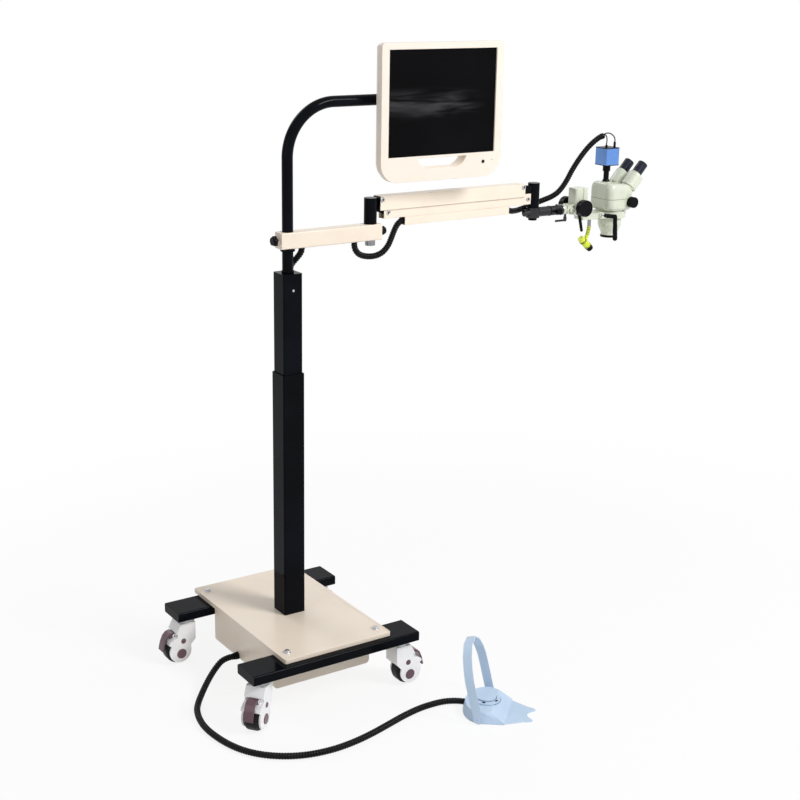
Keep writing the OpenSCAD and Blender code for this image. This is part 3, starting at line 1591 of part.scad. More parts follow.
// Plain lead along a route
module lead(route, r) {
    p = steps(curve(route, 6), 12);
    t = tangents(p, route);
    n = normals(t, hose_side);
    last = (len(p) - 1) * lead_sides;
    polyhedron(points = [for (i = [0:len(p) - 1]) each ring_points(p[i], t[i], n[i], r, lead_sides)],
        faces = concat(wall_faces(0, len(p), lead_sides, true),
            [for (j = [1:lead_sides - 2]) [0, j, j + 1]],
            [for (j = [1:lead_sides - 2]) [last, last + j + 1, last + j]]));
}

module head_hose() {
    color(soft_black) in_head() translate([0, 0, inner_top]) {
        ribbed_hose(head_route, 66, arm_hose_r, arm_root_r, arm_bore_r, 30);
        lead(lead_a_route, lead_r);
        lead(lead_b_route, lead_r);
    }
}

// Where the part stands: the middle of its box, without the pedal's hose, comes to the origin
row_x = 530.9;
row_y = -188.3;

module at_row() {
    translate([-row_x, -row_y, 0]) children();
}

at_row() base_plate();
at_row() legs();
at_row() power_box();
at_row() base_bolts();
at_row() column_outer();
at_row() lift_actuator();
at_row() caster_stems();
at_row() hose_gland();
at_row() pedal_hose();
at_row() pedal_base();
at_row() pedal_disc();
at_row() pedal_handle();
at_row() at_caster(0) caster_housing();  // caster_housing_front_left
at_row() at_caster(1) caster_housing();  // caster_housing_front_right
at_row() at_caster(2) caster_housing();  // caster_housing_rear_left
at_row() at_caster(3) caster_housing();  // caster_housing_rear_right
at_row() at_caster(0) caster_wheel();  // caster_wheel_front_left
at_row() at_caster(1) caster_wheel();  // caster_wheel_front_right
at_row() at_caster(2) caster_wheel();  // caster_wheel_rear_left
at_row() at_caster(3) caster_wheel();  // caster_wheel_rear_right
at_row() at_caster(0) caster_brake();  // caster_brake_front_left
at_row() at_caster(1) caster_brake();  // caster_brake_front_right
at_row() at_caster(2) caster_brake();  // caster_brake_rear_left
at_row() at_caster(3) caster_brake();  // caster_brake_rear_right
at_row() column_inner();
at_row() monitor_pole();
at_row() pole_hose();
at_row() monitor_bracket();
at_row() monitor_back();
at_row() monitor_front();
at_row() monitor_screen();
at_row() monitor_button();
at_row() arm_beam();
at_row() pole_knob();
at_row() post_knob();
at_row() elbow_post();
at_row() elbow_hose();
at_row() upper_link();
at_row() lower_link();
at_row() wrist_post();
at_row() head_hose();
at_row() short_arm();
at_row() roll_knob();
at_row() tilt_joint();
at_row() tilt_lever();
at_row() focus_block();
at_row() focus_knobs();
at_row() slide_lever();
at_row() ring_carrier();
at_row() ring_lever();
at_row() scope_body();
at_row() zoom_knobs();
at_row() objective();
at_row() prism(1);  // prism_left
at_row() prism(-1);  // prism_right
at_row() ocular(1);  // ocular_left
at_row() ocular(-1);  // ocular_right
at_row() camera();
at_row() lamp_neck();
at_row() lamp_head();
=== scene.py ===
# %% [markdown]
# # Dental microscope on a wheeled stand
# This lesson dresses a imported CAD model. The real object is a lifting column on four casters that carries
# a monitor and a jointed balance arm with a binocular microscope. A foot control lies beside its base.
# The CAD model fixes every size and place, so the first cell loads it and notes its box. The rest of the
# lesson adds what CAD leaves out: softened edges, ribbed hoses, turned details and finishes.

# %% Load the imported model
import json
import math

import bpy
from mathutils import Matrix, Vector


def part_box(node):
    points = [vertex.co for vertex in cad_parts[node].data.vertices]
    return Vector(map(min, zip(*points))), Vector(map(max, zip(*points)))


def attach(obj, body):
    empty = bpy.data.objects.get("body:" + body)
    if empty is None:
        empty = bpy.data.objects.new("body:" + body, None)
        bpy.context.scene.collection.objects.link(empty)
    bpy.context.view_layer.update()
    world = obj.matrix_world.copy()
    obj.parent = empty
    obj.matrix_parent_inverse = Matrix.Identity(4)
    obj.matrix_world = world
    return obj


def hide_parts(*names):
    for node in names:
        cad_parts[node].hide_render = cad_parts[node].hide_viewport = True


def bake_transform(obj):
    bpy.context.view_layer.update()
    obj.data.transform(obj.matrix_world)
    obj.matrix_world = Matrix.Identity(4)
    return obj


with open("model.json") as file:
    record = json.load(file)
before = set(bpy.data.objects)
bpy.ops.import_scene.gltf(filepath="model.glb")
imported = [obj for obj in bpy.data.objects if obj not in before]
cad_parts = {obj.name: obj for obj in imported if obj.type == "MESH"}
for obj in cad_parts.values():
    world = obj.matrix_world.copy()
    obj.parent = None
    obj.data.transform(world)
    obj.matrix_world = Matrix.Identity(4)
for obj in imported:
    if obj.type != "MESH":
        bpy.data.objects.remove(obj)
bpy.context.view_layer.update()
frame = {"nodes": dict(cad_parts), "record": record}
body_of = {n: b for b, ns in frame["record"]["behaviour"]["bodies"].items() for n in ns}
slot_of = {s["node"]: s["material_slot"] for s in frame["record"]["subparts"]}
column_low, column_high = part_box("column_outer")
STAND = Vector(((column_low.x + column_high.x) / 2, (column_low.y + column_high.y) / 2, 0))
print("nodes", len(frame["nodes"]), "column axis at", [round(c, 4) for c in STAND])


# %% [markdown]
# The drawing of the stand is measured in millimetres from the column's axis on the floor. One small
# function turns such a point into the metres of the loaded model, and another does the same for points on
# the microscope's head, which are measured from the wrist's axis. Working from the drawing's numbers is
# better than sliding pieces about by eye, because a piece then sits exactly on what carries it.

# %% Places on the stand and on the head
ARM_YAW, ARM_DROP = math.radians(6.8), math.radians(1.2)  # the balance arm's heading and fall at rest
ELBOW_X = 276  # from the column's axis to the elbow's
LINK_LENGTH, POST_OFFSETS = 580, 95  # pin to pin, and what the two posts' lugs add to it
FAR, FALL = LINK_LENGTH * math.cos(ARM_DROP), LINK_LENGTH * math.sin(ARM_DROP)
reach = (POST_OFFSETS + FAR) / 1000
WRIST = Vector((ELBOW_X / 1000 + reach * math.cos(ARM_YAW), reach * math.sin(ARM_YAW), 0)) + STAND


def on_stand(x, y, z):
    return Vector((x, y, z)) / 1000 + STAND


def on_head(x, y, z):
    return Vector((x, y, z)) / 1000 + WRIST


print("wrist axis at", [round(c, 4) for c in WRIST])


# %% [markdown]
# ## The camera
# The photograph was taken from the front left, a little above the arms, with a long lens. Its place was
# solved from the picture's straight edges. The camera is built first, because it decides how much of the
# foot control's hose is seen.

# %% Camera
YAW, PITCH, ROLL = math.radians(33.98), math.radians(16.75), math.radians(1.03)
CAMERA_PLACE = (-2022.7, -3582.7, 2096.9)
LENS_LENGTH, FILM_WIDTH = 66.2, 36
ahead = Vector((math.sin(YAW) * math.cos(PITCH), math.cos(YAW) * math.cos(PITCH), -math.sin(PITCH)))
level = Vector((math.cos(YAW), -math.sin(YAW), 0))
above = level.cross(ahead)
right = math.cos(ROLL) * level + math.sin(ROLL) * above
up = -math.sin(ROLL) * level + math.cos(ROLL) * above
camera_data = bpy.data.cameras.new("photo_camera")
camera_data.lens = LENS_LENGTH
camera_data.sensor_width = FILM_WIDTH
camera_data.clip_end = 60
camera = bpy.data.objects.new("photo_camera", camera_data)
camera.matrix_world = Matrix.Translation(on_stand(*CAMERA_PLACE)) @ Matrix(
    (right, up, -ahead)).transposed().to_4x4()
bpy.context.scene.collection.objects.link(camera)
bpy.context.scene.camera = camera
print("camera at", [round(c, 3) for c in camera.matrix_world.translation])


# %% [markdown]
# ## Hoses
# Ribbed plastic hose guards the cables: one on the floor to the foot control and three along the arms.
# A curve with a bevel gives a smooth pipe, but not ribs. Here each route becomes a smooth line, cut at even
# steps, and a ring of points is set round every step. The ring's radius rises and falls once for each rib.

# %% A smooth line through a route's points
def smooth_line(points, fine=12):
    """A curve through every point, in this many steps from each point to the next."""
    p = [2 * points[0] - points[1]] + list(points) + [2 * points[-1] - points[-2]]
    line = []
    for i in range(1, len(p) - 2):
        a, b, c, d = p[i - 1:i + 3]
        for k in range(fine):
            t = k / fine
            line.append(0.5 * (2 * b + (c - a) * t + (2 * a - 5 * b + 4 * c - d) * t * t
                               + (3 * b - a - 3 * c + d) * t * t * t))
    return line + [points[-1].copy()]


def even_steps(line, count):
    """Points at even distances along a line, and the line's length."""
    marks = [0.0]
    for a, b in zip(line, line[1:]):
        marks.append(marks[-1] + (b - a).length)
    out, i = [], 0
    for k in range(count + 1):
        want = marks[-1] * k / count
        while i < len(line) - 2 and marks[i + 1] < want:
            i += 1
        share = (want - marks[i]) / max(marks[i + 1] - marks[i], 1e-9)
        out.append(line[i].lerp(line[i + 1], min(share, 1.0)))
    return out, marks[-1]


corner = smooth_line([Vector((0, 0, 0)), Vector((1, 0, 0)), Vector((1, 1, 0))])
print("a line round one corner has", len(corner), "points and is", round(even_steps(corner, 9)[1], 3), "long")


# %% [markdown]
# The ring of points is carried along the line without twisting: each ring's first direction is the last
# one's, made square to the line again. One rib is six rings, from the root over the crest and back, so the
# ribs are real geometry and show in the hose's outline.

# %% Ribbed tube
def tube_mesh(name, points, radii, sides=20):
    """A closed tube with one ring of points round each step of a line."""
    verts, faces = [], []
    side = (points[1] - points[0]).normalized().orthogonal().normalized()
    for i, (p, r) in enumerate(zip(points, radii)):
        heading = (points[min(i + 1, len(points) - 1)] - points[max(i - 1, 0)]).normalized()
        side = (side - heading * side.dot(heading)).normalized()
        other = heading.cross(side)
        for j in range(sides):
            a = 2 * math.pi * j / sides
            verts.append(p + r * (math.cos(a) * side + math.sin(a) * other))
    for i in range(len(points) - 1):
        for j in range(sides):
            k = (j + 1) % sides
            faces.append((i * sides + j, i * sides + k, (i + 1) * sides + k, (i + 1) * sides + j))
    last = (len(points) - 1) * sides
    faces.append(tuple(range(sides))[::-1])
    faces.append(tuple(last + j for j in range(sides)))
    mesh = bpy.data.meshes.new(name)
    mesh.from_pydata([tuple(v) for v in verts], [], faces)
    mesh.polygons.foreach_set("use_smooth", [True] * len(faces))
    piece = bpy.data.objects.new(name, mesh)
    bpy.context.scene.collection.objects.link(piece)
    return piece


FINE_STEPS = 2400
RIB = ((0.0, 0.0), (0.18, 0.55), (0.32, 1.0), (0.62, 1.0), (0.76, 0.55), (0.92, 0.0))  # along, and how high


def ribbed(name, line, start, stop, pitch, crest, root, sides=20):
    """The stretch of a hose from start to stop, in shares of its line's length."""
    fine, length = even_steps(line, FINE_STEPS)
    ribs = max(1, round(length * (stop - start) / pitch))
    points, radii = [], []
    for i in range(ribs):
        for t, h in RIB:
            share = start + (stop - start) * (i + t) / ribs
            at = share * FINE_STEPS
            k = min(int(at), FINE_STEPS - 1)
            points.append(fine[k].lerp(fine[k + 1], at - k))
            radii.append(root + (crest - root) * h)
    k = min(int(stop * FINE_STEPS), FINE_STEPS - 1)
    points.append(fine[k].lerp(fine[k + 1], stop * FINE_STEPS - k))
    radii.append(root)
    return tube_mesh(name, points, radii, sides), length


print("a rib is", len(RIB), "rings")


# %% [markdown]
# The floor hose leaves the gland on the power box, falls to the floor and runs in one loose curve to the
# foot control. The picture shows it from end to end, so its length is the length of that route.

# %% Floor hose to the foot control
FLOOR_ROUTE = [(-186, 14, 76), (-205, 14, 76), (-230, 10, 71), (-262, -2, 52), (-292, -20, 32),
               (-322, -46, 16), (-350, -80, 10), (-373, -120, 10), (-390, -175, 10), (-396, -235, 10),
               (-388, -310, 10), (-368, -375, 10), (-334, -428, 10), (-285, -470, 10), (-225, -498, 10),
               (-155, -510, 10), (-85, -507, 10), (-15, -494, 10), (55, -475, 10), (120, -457, 10),
               (180, -446, 10), (230, -445, 10), (265, -450, 10), (288, -462, 11), (304, -476, 12),
               (318, -491, 12)]
floor_line = smooth_line([on_stand(*p) for p in FLOOR_ROUTE])
floor_hose, floor_length = ribbed("floor_hose", floor_line, 0, 1, pitch=0.0078, crest=0.0095, root=0.0083)
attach(floor_hose, "stand")
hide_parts("pedal_hose")
[tuple(p) for p in even_steps(floor_line, 240)[0]]
print("floor hose", round(floor_length, 3), "m,", len(floor_hose.data.polygons), "faces")


# %% [markdown]
# The arm hoses cross joints. A hose that rode on one arm would be left behind when the next arm turns, so
# each hose is cut into pieces where it belongs wholly to one arm, at given shares of its length.

# %% Hoses on the arms
ARM_PITCH, ARM_CREST, ARM_ROOT = 0.0072, 0.0093, 0.0079
ARM_STEPS = 600


def arm_hose(name, node, route, place, cuts):
    """A hose in pieces. The cuts are shares of its length."""
    line = smooth_line([place(*p) for p in route])
    fine, length = even_steps(line, ARM_STEPS)
    pieces = []
    for i, (a, b) in enumerate(zip(cuts, cuts[1:])):
        piece, _ = ribbed(f"{name}_{i + 1}", line, a, b, ARM_PITCH, ARM_CREST, ARM_ROOT, sides=18)
        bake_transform(piece)
        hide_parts(node)
        pieces.append(piece)
    print(name, round(length, 3), "m in", len(pieces), "pieces")
    return pieces


TOP = 1235  # the height that the arm hoses' points are measured from
POLE_ROUTE = [(20, 20, 0), (20, 20, 8), (23, 16, 20), (31, 8, 34), (38, -1, 48), (41, -7, 60),
              (41, -8, 69.4)]
ELBOW_ROUTE = [(-54, 0, 69.4), (-54, 0, 58), (-50, 0, 44), (-39, 0, 31), (-21, 1, 23), (2, 2, 19),
               (26, 3, 20), (50, 6, 28), (69, 8, 45), (81, 10, 65), (91, 11, 85), (101, 12, 101),
               (112, 13.4, 110), (122, 14.5, 113.6), (132, 15.7, 113.8)]
HEAD_ROUTE = [(-129.6, -15.5, 105.2), (-119.6, -14.3, 105), (-108, -12, 102), (-90, -4, 97),
              (-68, 10, 94), (-44, 24, 92), (-18, 33, 94), (10, 35, 99), (40, 34, 108), (70, 32, 116),
              (98, 30, 124), (122, 28, 136), (142, 26, 155), (158, 23, 179), (172, 20, 205),
              (188, 16, 231), (206, 12, 256), (226, 8, 279), (246, 4, 297), (266, 1, 310), (283, 0, 315)]
hose_pieces = [floor_hose]
hose_pieces += arm_hose("pole_hose", "pole_hose", POLE_ROUTE, lambda x, y, z: on_stand(x, y, z + TOP),
                        [0, 1])
hose_pieces += arm_hose("elbow_hose", "elbow_hose", ELBOW_ROUTE,
                        lambda x, y, z: on_stand(x + ELBOW_X, y, z + TOP), [0, 0.42, 1])
hose_pieces += arm_hose("head_hose", "head_hose", HEAD_ROUTE, lambda x, y, z: on_head(x, y, z + TOP),
                        [0, 0.13, 0.36, 0.49, 0.61, 0.76, 1])


# %% [markdown]
# At its top end the hose lets two thin leads out, which drop into plugs on the camera. They ride with the
# microscope and end inside the hose, so no open end is seen. A stepped rubber sleeve closes the hose.

# %% Camera leads
LEAD_A = [(276, 0, 312), (283, 0, 317), (291, 0, 317.5), (297, 0, 310), (299, 0, 299), (298, 0, 289),
          (298, 0, 284)]
LEAD_B = [(276, -1, 313), (283, -2, 319), (292, -3, 323), (304, -8, 322), (314, -14, 314),
          (318, -17, 304), (318, -17, 295)]
LEAD_RADIUS = 0.0019
SLEEVE_RADII = [0.0092, 0.0099, 0.0099, 0.0095, 0.0099, 0.0099, 0.0094, 0.0078]
for name, route in (("lead_front", LEAD_A), ("lead_back", LEAD_B)):
    steps, _ = even_steps(smooth_line([on_head(x, y, z + TOP) for x, y, z in route]), 40)
    lead = tube_mesh(name, steps, [LEAD_RADIUS] * len(steps), sides=14)
    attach(lead, "scope")
    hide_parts("head_hose")
    hose_pieces.append(lead)
hose_end, _ = even_steps(smooth_line([on_head(x, y, z + TOP) for x, y, z in HEAD_ROUTE[-3:]]), 24)
collar = tube_mesh("hose_end_sleeve", hose_end[-len(SLEEVE_RADII):], SLEEVE_RADII, sides=24)
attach(collar, "scope")
hose_pieces.append(collar)
print("leads and sleeve made")


# %% [markdown]
# ## Finishes
# Paint, moulded plastic and steel look real through small changes over the surface: a fine grain, a slow
# mottle in colour and gloss, rubbed edges and a little dust on top. Each effect is one shader node group,
# built once and used in many materials with its own numbers. The shader itself stays in each material.

# %% Node group helpers
def new_group(name, inputs, outputs):
    group = bpy.data.node_groups.new(name, "ShaderNodeTree")
    for label, kind, value in inputs:
        socket = group.interface.new_socket(label, in_out="INPUT", socket_type=kind)
        if value is not None:
            socket.default_value = value
    for label, kind in outputs:
        group.interface.new_socket(label, in_out="OUTPUT", socket_type=kind)
    return group, group.nodes.new("NodeGroupInput"), group.nodes.new("NodeGroupOutput")


def node(tree, kind, links=None, **values):
    """A node with values on its named settings or sockets, and links from other sockets."""
    made = tree.nodes.new(kind)
    for key, value in values.items():
        label = key.replace("_", " ").title()
        if label in made.inputs:
            made.inputs[label].default_value = value
        else:
            setattr(made, key, value)
    for key, source in (links or {}).items():
        tree.links.new(source, made.inputs[key])
    return made


def ramp(tree, value, given=(0.0, 1.0), wanted=(0.0, 1.0), kind="LINEAR"):
    """A value mapped from one range to another."""
    made = node(tree, "ShaderNodeMapRange", {"Value": value}, interpolation_type=kind)
    for label, number in zip(("From Min", "From Max", "To Min", "To Max"), (*given, *wanted)):
        made.inputs[label].default_value = number
    return made.outputs["Result"]


def maths(tree, operation, first, second, clamp=False):
    """The result of one operation on two values, each of which is a socket or a number."""
    made = node(tree, "ShaderNodeMath", operation=operation, use_clamp=clamp)
    for socket, value in zip(made.inputs, (first, second)):
        if isinstance(value, float):
            socket.default_value = value
        else:
            tree.links.new(value, socket)
    return made.outputs[0]


def seen_directly(tree):
    """The light path, and a value that is 1 for rays from the camera and for reflections."""
    ray = tree.nodes.new("ShaderNodeLightPath")
    return ray, maths(tree, "MAXIMUM", ray.outputs["Is Camera Ray"], ray.outputs["Is Glossy Ray"])


print("node groups so far", len(bpy.data.node_groups))


# %% [markdown]
# The grain is a fine cell pattern broken up by noise, and gives only a height. The mottle is a slow cloud.
# Rubbed edges show where the surface is pointed, in patches, and dust lies on what faces upward. Each group
# takes a place in object coordinates, so nothing swims when a piece moves with its body.

# %% Grain, mottle, rubbed edges and dust
FLOAT, VECTOR = "NodeSocketFloat", "NodeSocketVector"

grain_group, gi, go = new_group("fine_grain", [("Place", VECTOR, None), ("Scale", FLOAT, 900.0)],
                                [("Height", FLOAT)])
place_and_scale = {"Vector": gi.outputs["Place"], "Scale": gi.outputs["Scale"]}
cells = node(grain_group, "ShaderNodeTexVoronoi", place_and_scale)
noise = node(grain_group, "ShaderNodeTexNoise", place_and_scale, detail=3.0)
height = maths(grain_group, "MULTIPLY", cells.outputs["Distance"], noise.outputs["Fac"])
grain_group.links.new(height, go.inputs["Height"])

mottle_group, mi, mo = new_group("slow_mottle", [("Place", VECTOR, None), ("Scale", FLOAT, 9.0)],
                                 [("Mask", FLOAT)])
place_and_scale = {"Vector": mi.outputs["Place"], "Scale": mi.outputs["Scale"]}
cloud = node(mottle_group, "ShaderNodeTexNoise", place_and_scale, detail=5.0, roughness=0.55)
spread = ramp(mottle_group, cloud.outputs["Fac"], (0.36, 0.66), kind="SMOOTHSTEP")
mottle_group.links.new(spread, mo.inputs["Mask"])

edge_group, ei, eo = new_group("rubbed_edges", [("Place", VECTOR, None), ("Reach", FLOAT, 0.56)],
                               [("Mask", FLOAT)])
shape = node(edge_group, "ShaderNodeNewGeometry")
break_up = node(edge_group, "ShaderNodeTexNoise", {"Vector": ei.outputs["Place"]}, scale=70.0, detail=4.0)
pointed = ramp(edge_group, shape.outputs["Pointiness"], (0.0, 0.66))
edge_group.links.new(ei.outputs["Reach"], pointed.node.inputs["From Min"])
patchy = ramp(edge_group, break_up.outputs["Fac"], (0.42, 0.62))
edge_group.links.new(maths(edge_group, "MULTIPLY", pointed, patchy, clamp=True), eo.inputs["Mask"])

dust_group, di, do = new_group("settled_dust", [("Place", VECTOR, None), ("Scale", FLOAT, 40.0)],
                               [("Mask", FLOAT)])
facing = node(dust_group, "ShaderNodeNewGeometry")
split = node(dust_group, "ShaderNodeSeparateXYZ", {"Vector": facing.outputs["Normal"]})
upward = ramp(dust_group, split.outputs["Z"], (0.55, 1.0))
place_and_scale = {"Vector": di.outputs["Place"], "Scale": di.outputs["Scale"]}
specks = node(dust_group, "ShaderNodeTexNoise", place_and_scale, detail=6.0, roughness=0.7)
settled = maths(dust_group, "MULTIPLY", upward, specks.outputs["Fac"], clamp=True)
dust_group.links.new(settled, do.inputs["Mask"])
print("effects", [g.name for g in bpy.data.node_groups])


# %% [markdown]
# A finish takes a colour and its mottled twin, a range of roughness, a grain, and how much rub and dust the
# real surface shows. Numbers that are the same all over go straight onto the shader's own sockets.

# %% A finish
GRAIN_DEPTH = 0.0004


def finish(name, colour, twin, rough=(0.35, 0.5), metal=0.0, coat=0.0, coat_rough=0.06, grain=(900.0, 0.03),
           mottle=9.0, rub=None, dust=0.0, dust_colour=(0.55, 0.53, 0.50), specular=0.5):
    """A material whose colour, gloss, grain, rub and dust come from the shared effects."""
    material = bpy.data.materials.new(name)
    material.use_nodes = True
    tree = material.node_tree
    tree.nodes.clear()
    shader = tree.nodes.new("ShaderNodeBsdfPrincipled")
    shader.inputs["Metallic"].default_value = metal
    shader.inputs["Coat Weight"].default_value = coat
    shader.inputs["Coat Roughness"].default_value = coat_rough
    shader.inputs["Specular IOR Level"].default_value = specular
    node(tree, "ShaderNodeOutputMaterial", {"Surface": shader.outputs["BSDF"]})
    place = tree.nodes.new("ShaderNodeTexCoord").outputs["Object"]

    def effect(group, **values):
        made = tree.nodes.new("ShaderNodeGroup")
        made.node_tree = group
        tree.links.new(place, made.inputs["Place"])
        for key, value in values.items():
            made.inputs[key].default_value = value
        return made.outputs[0]

    def blended(factor, a, b, share=1.0):
        mix = tree.nodes.new("ShaderNodeMix")
        mix.data_type = "RGBA"
        if share != 1.0:
            factor = maths(tree, "MULTIPLY", factor, share)
        tree.links.new(factor, mix.inputs["Factor"])
        for socket, value in (("A", a), ("B", b)):
            target = [s for s in mix.inputs if s.name == socket and s.type == "RGBA"][0]
            if isinstance(value, tuple):
                target.default_value = (*value, 1)
            else:
                tree.links.new(value, target)
        return [s for s in mix.outputs if s.type == "RGBA"][0]

    cloudy = effect(mottle_group, Scale=mottle)
    tint = blended(cloudy, colour, twin)
    if rub:
        tint = blended(effect(edge_group), tint, rub[0], rub[1])
    if dust:
        tint = blended(effect(dust_group), tint, dust_colour, dust)
    tree.links.new(tint, shader.inputs["Base Color"])
    tree.links.new(ramp(tree, cloudy, wanted=rough), shader.inputs["Roughness"])
    bump = node(tree, "ShaderNodeBump", {"Height": effect(grain_group, Scale=grain[0])})
    bump.inputs["Strength"].default_value = grain[1]
    bump.inputs["Distance"].default_value = GRAIN_DEPTH
    tree.links.new(bump.outputs["Normal"], shader.inputs["Normal"])
    return material


print("materials so far", len(bpy.data.materials))


# %% [markdown]
# The colours come from the photograph, a little darker for blacks and a little warmer for the cream,
# because the white surroundings lighten and cool them. The gloss paint on the column is so dark that it
# shows only the lamps; the plastics are duller and show their grain.

# %% The finishes of this object
FINISH = {
    "cream_paint": finish("cream_paint", (0.91, 0.80, 0.67), (0.89, 0.77, 0.64), (0.34, 0.46), coat=0.25,
                          coat_rough=0.2, grain=(420.0, 0.12), rub=((0.94, 0.90, 0.84), 0.5), dust=0.06),
    "cream_plastic": finish("cream_plastic", (0.91, 0.82, 0.72), (0.88, 0.79, 0.69), (0.40, 0.52),
                            grain=(700.0, 0.10), dust=0.04),
    "black_gloss": finish("black_gloss", (0.0025, 0.0028, 0.004), (0.004, 0.0048, 0.008), (0.07, 0.15),
                          grain=(260.0, 0.03), rub=((0.04, 0.04, 0.05), 0.4), specular=0.045),
    "silver_steel": finish("silver_steel", (0.60, 0.60, 0.61), (0.50, 0.50, 0.52), (0.2, 0.38), metal=1.0,
                           grain=(500.0, 0.08)),
    "grey_steel": finish("grey_steel", (0.33, 0.33, 0.35), (0.26, 0.26, 0.28), (0.3, 0.45), metal=1.0,
                         grain=(500.0, 0.1)),
    "black_plastic": finish("black_plastic", (0.004, 0.004, 0.005), (0.007, 0.007, 0.009), (0.24, 0.36),
                            grain=(800.0, 0.14), rub=((0.05, 0.05, 0.055), 0.5), dust=0.005, specular=0.07),
    "black_hose": finish("black_hose", (0.003, 0.003, 0.0035), (0.006, 0.006, 0.007), (0.16, 0.28),
                         grain=(700.0, 0.06), dust=0.01, specular=0.10),
    "pedal_plastic": finish("pedal_plastic", (0.55, 0.70, 0.88), (0.52, 0.66, 0.84), (0.38, 0.52),
                            grain=(600.0, 0.15), rub=((0.72, 0.80, 0.90), 0.6), dust=0.05),
    "gunmetal": finish("gunmetal", (0.055, 0.055, 0.060), (0.035, 0.035, 0.04), (0.18, 0.3), metal=0.8,
                       grain=(500.0, 0.08), rub=((0.4, 0.4, 0.41), 0.4)),
    "scope_paint": finish("scope_paint", (0.70, 0.74, 0.60), (0.66, 0.70, 0.57), (0.26, 0.36), coat=0.6,
                          coat_rough=0.08, grain=(480.0, 0.12), rub=((0.84, 0.86, 0.76), 0.5), dust=0.04),
    "camera_blue": finish("camera_blue", (0.13, 0.30, 0.72), (0.11, 0.27, 0.67), (0.26, 0.38), metal=0.3,
                          coat=0.3, grain=(1100.0, 0.12), rub=((0.40, 0.52, 0.84), 0.6)),
    "lamp_yellow": finish("lamp_yellow", (0.76, 0.88, 0.05), (0.70, 0.82, 0.04), (0.32, 0.45),
                          grain=(600.0, 0.1), dust=0.03),
    "screen_black": finish("screen_black", (0.003, 0.003, 0.0035), (0.005, 0.005, 0.006), (0.10, 0.16),
                           grain=(1500.0, 0.02), mottle=2.5, specular=0.03),
    "caster_white": finish("caster_white", (0.95, 0.95, 0.96), (0.91, 0.91, 0.93), (0.16, 0.28), coat=0.5,
                           grain=(400.0, 0.05), rub=((0.8, 0.8, 0.8), 0.3), dust=0.02),
    "tyre_black": finish("tyre_black", (0.010, 0.010, 0.011), (0.02, 0.02, 0.02), (0.4, 0.6),
                         grain=(300.0, 0.3), dust=0.06, specular=0.15),
    "brake_mauve": finish("brake_mauve", (0.12, 0.052, 0.072), (0.10, 0.044, 0.062), (0.28, 0.4), coat=0.2,
                          grain=(500.0, 0.08), rub=((0.3, 0.2, 0.22), 0.4)),
}
lens = finish("coated_lens", (0.02, 0.03, 0.05), (0.03, 0.02, 0.05), (0.03, 0.06), coat=1.0,
              coat_rough=0.02, grain=(2000.0, 0.0), mottle=3.0)
ocular_black = finish("ocular_black", (0.008, 0.011, 0.024), (0.012, 0.015, 0.030), (0.16, 0.26),
                      grain=(500.0, 0.05), rub=((0.08, 0.09, 0.12), 0.5), specular=0.25)
# dark for the seam round the microscope's body, and painted shade in the screw sockets
dark_seam_and_painted_shade = finish("dark_seam_and_painted_shade", (0.02, 0.02, 0.02), (0.03, 0.03, 0.03), (0.5, 0.7))
for piece in hose_pieces:
    piece.data.materials.append(FINISH["black_hose"])
print("finishes", len(FINISH) + 3)


# %% [markdown]
# The screen is off, and its colour holds a painted reflection: a faint grey band across its middle, drawn out
# sideways in streaks. A noise that is stretched along the screen gives the streaks, and the height
# on the screen gives the band they lie in.

# %% Painted reflection on the screen
REFLECTION_BAND_HEIGHT = 0.34  # the share of the half screen, up and down, that the band reaches
REFLECTION_BAND_DROP = 0.004
tree = FINISH["screen_black"].node_tree
shader = [n for n in tree.nodes if n.type == "BSDF_PRINCIPLED"][0]
plain = shader.inputs["Base Color"].links[0].from_socket
screen_low, screen_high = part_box("monitor_screen")
screen_middle = (screen_low + screen_high) / 2
half_height = (screen_high.z - screen_low.z) / 2
spot = tree.nodes.new("ShaderNodeTexCoord")
centred = node(tree, "ShaderNodeMapping", {"Vector": spot.outputs["Object"]})
centred.inputs["Location"].default_value = -screen_middle
drawn_out = node(tree, "ShaderNodeMapping", {"Vector": centred.outputs["Vector"]})
drawn_out.inputs["Scale"].default_value = (5.0, 1.0, 46.0)
streaks = node(tree, "ShaderNodeTexNoise", {"Vector": drawn_out.outputs["Vector"]}, scale=1.0, detail=4.0,
               distortion=0.6)
parts = node(tree, "ShaderNodeSeparateXYZ", {"Vector": centred.outputs["Vector"]})
away = maths(tree, "ABSOLUTE", maths(tree, "ADD", parts.outputs["Z"], REFLECTION_BAND_DROP), 0.0)
in_height = ramp(tree, away, (0.0, REFLECTION_BAND_HEIGHT * half_height), (1.0, 0.0), "SMOOTHSTEP")
in_width = ramp(tree, parts.outputs["X"], (0.04, 0.17), (1.0, 0.0), "SMOOTHSTEP")
streaky = ramp(tree, streaks.outputs["Fac"], (0.36, 0.70), kind="SMOOTHSTEP")
# painted reflection: grey streaks mixed into the screen's black within the band
painted_reflection_share = maths(tree, "MULTIPLY", maths(tree, "MULTIPLY", in_height, in_width), streaky)
painted_reflection_mix = tree.nodes.new("ShaderNodeMix")
painted_reflection_mix.data_type = "RGBA"
tree.links.new(painted_reflection_share, painted_reflection_mix.inputs["Factor"])
tree.links.new(plain, painted_reflection_mix.inputs[6])
painted_reflection_mix.inputs[7].default_value = (0.05, 0.05, 0.053, 1)
tree.links.new(painted_reflection_mix.outputs[2], shader.inputs["Base Color"])
print("screen middle", [round(c, 3) for c in screen_middle])


# %% [markdown]
# ## Softened solids
# No cast, bent or moulded piece has a knife edge: its edges catch a thin line of light. A copy of each CAD
# solid is merged, its flat faces are joined, and a bevel rounds its sharp edges. The copy stands for the
# solid in the picture. Where one solid has more than one finish, its faces are painted by place.

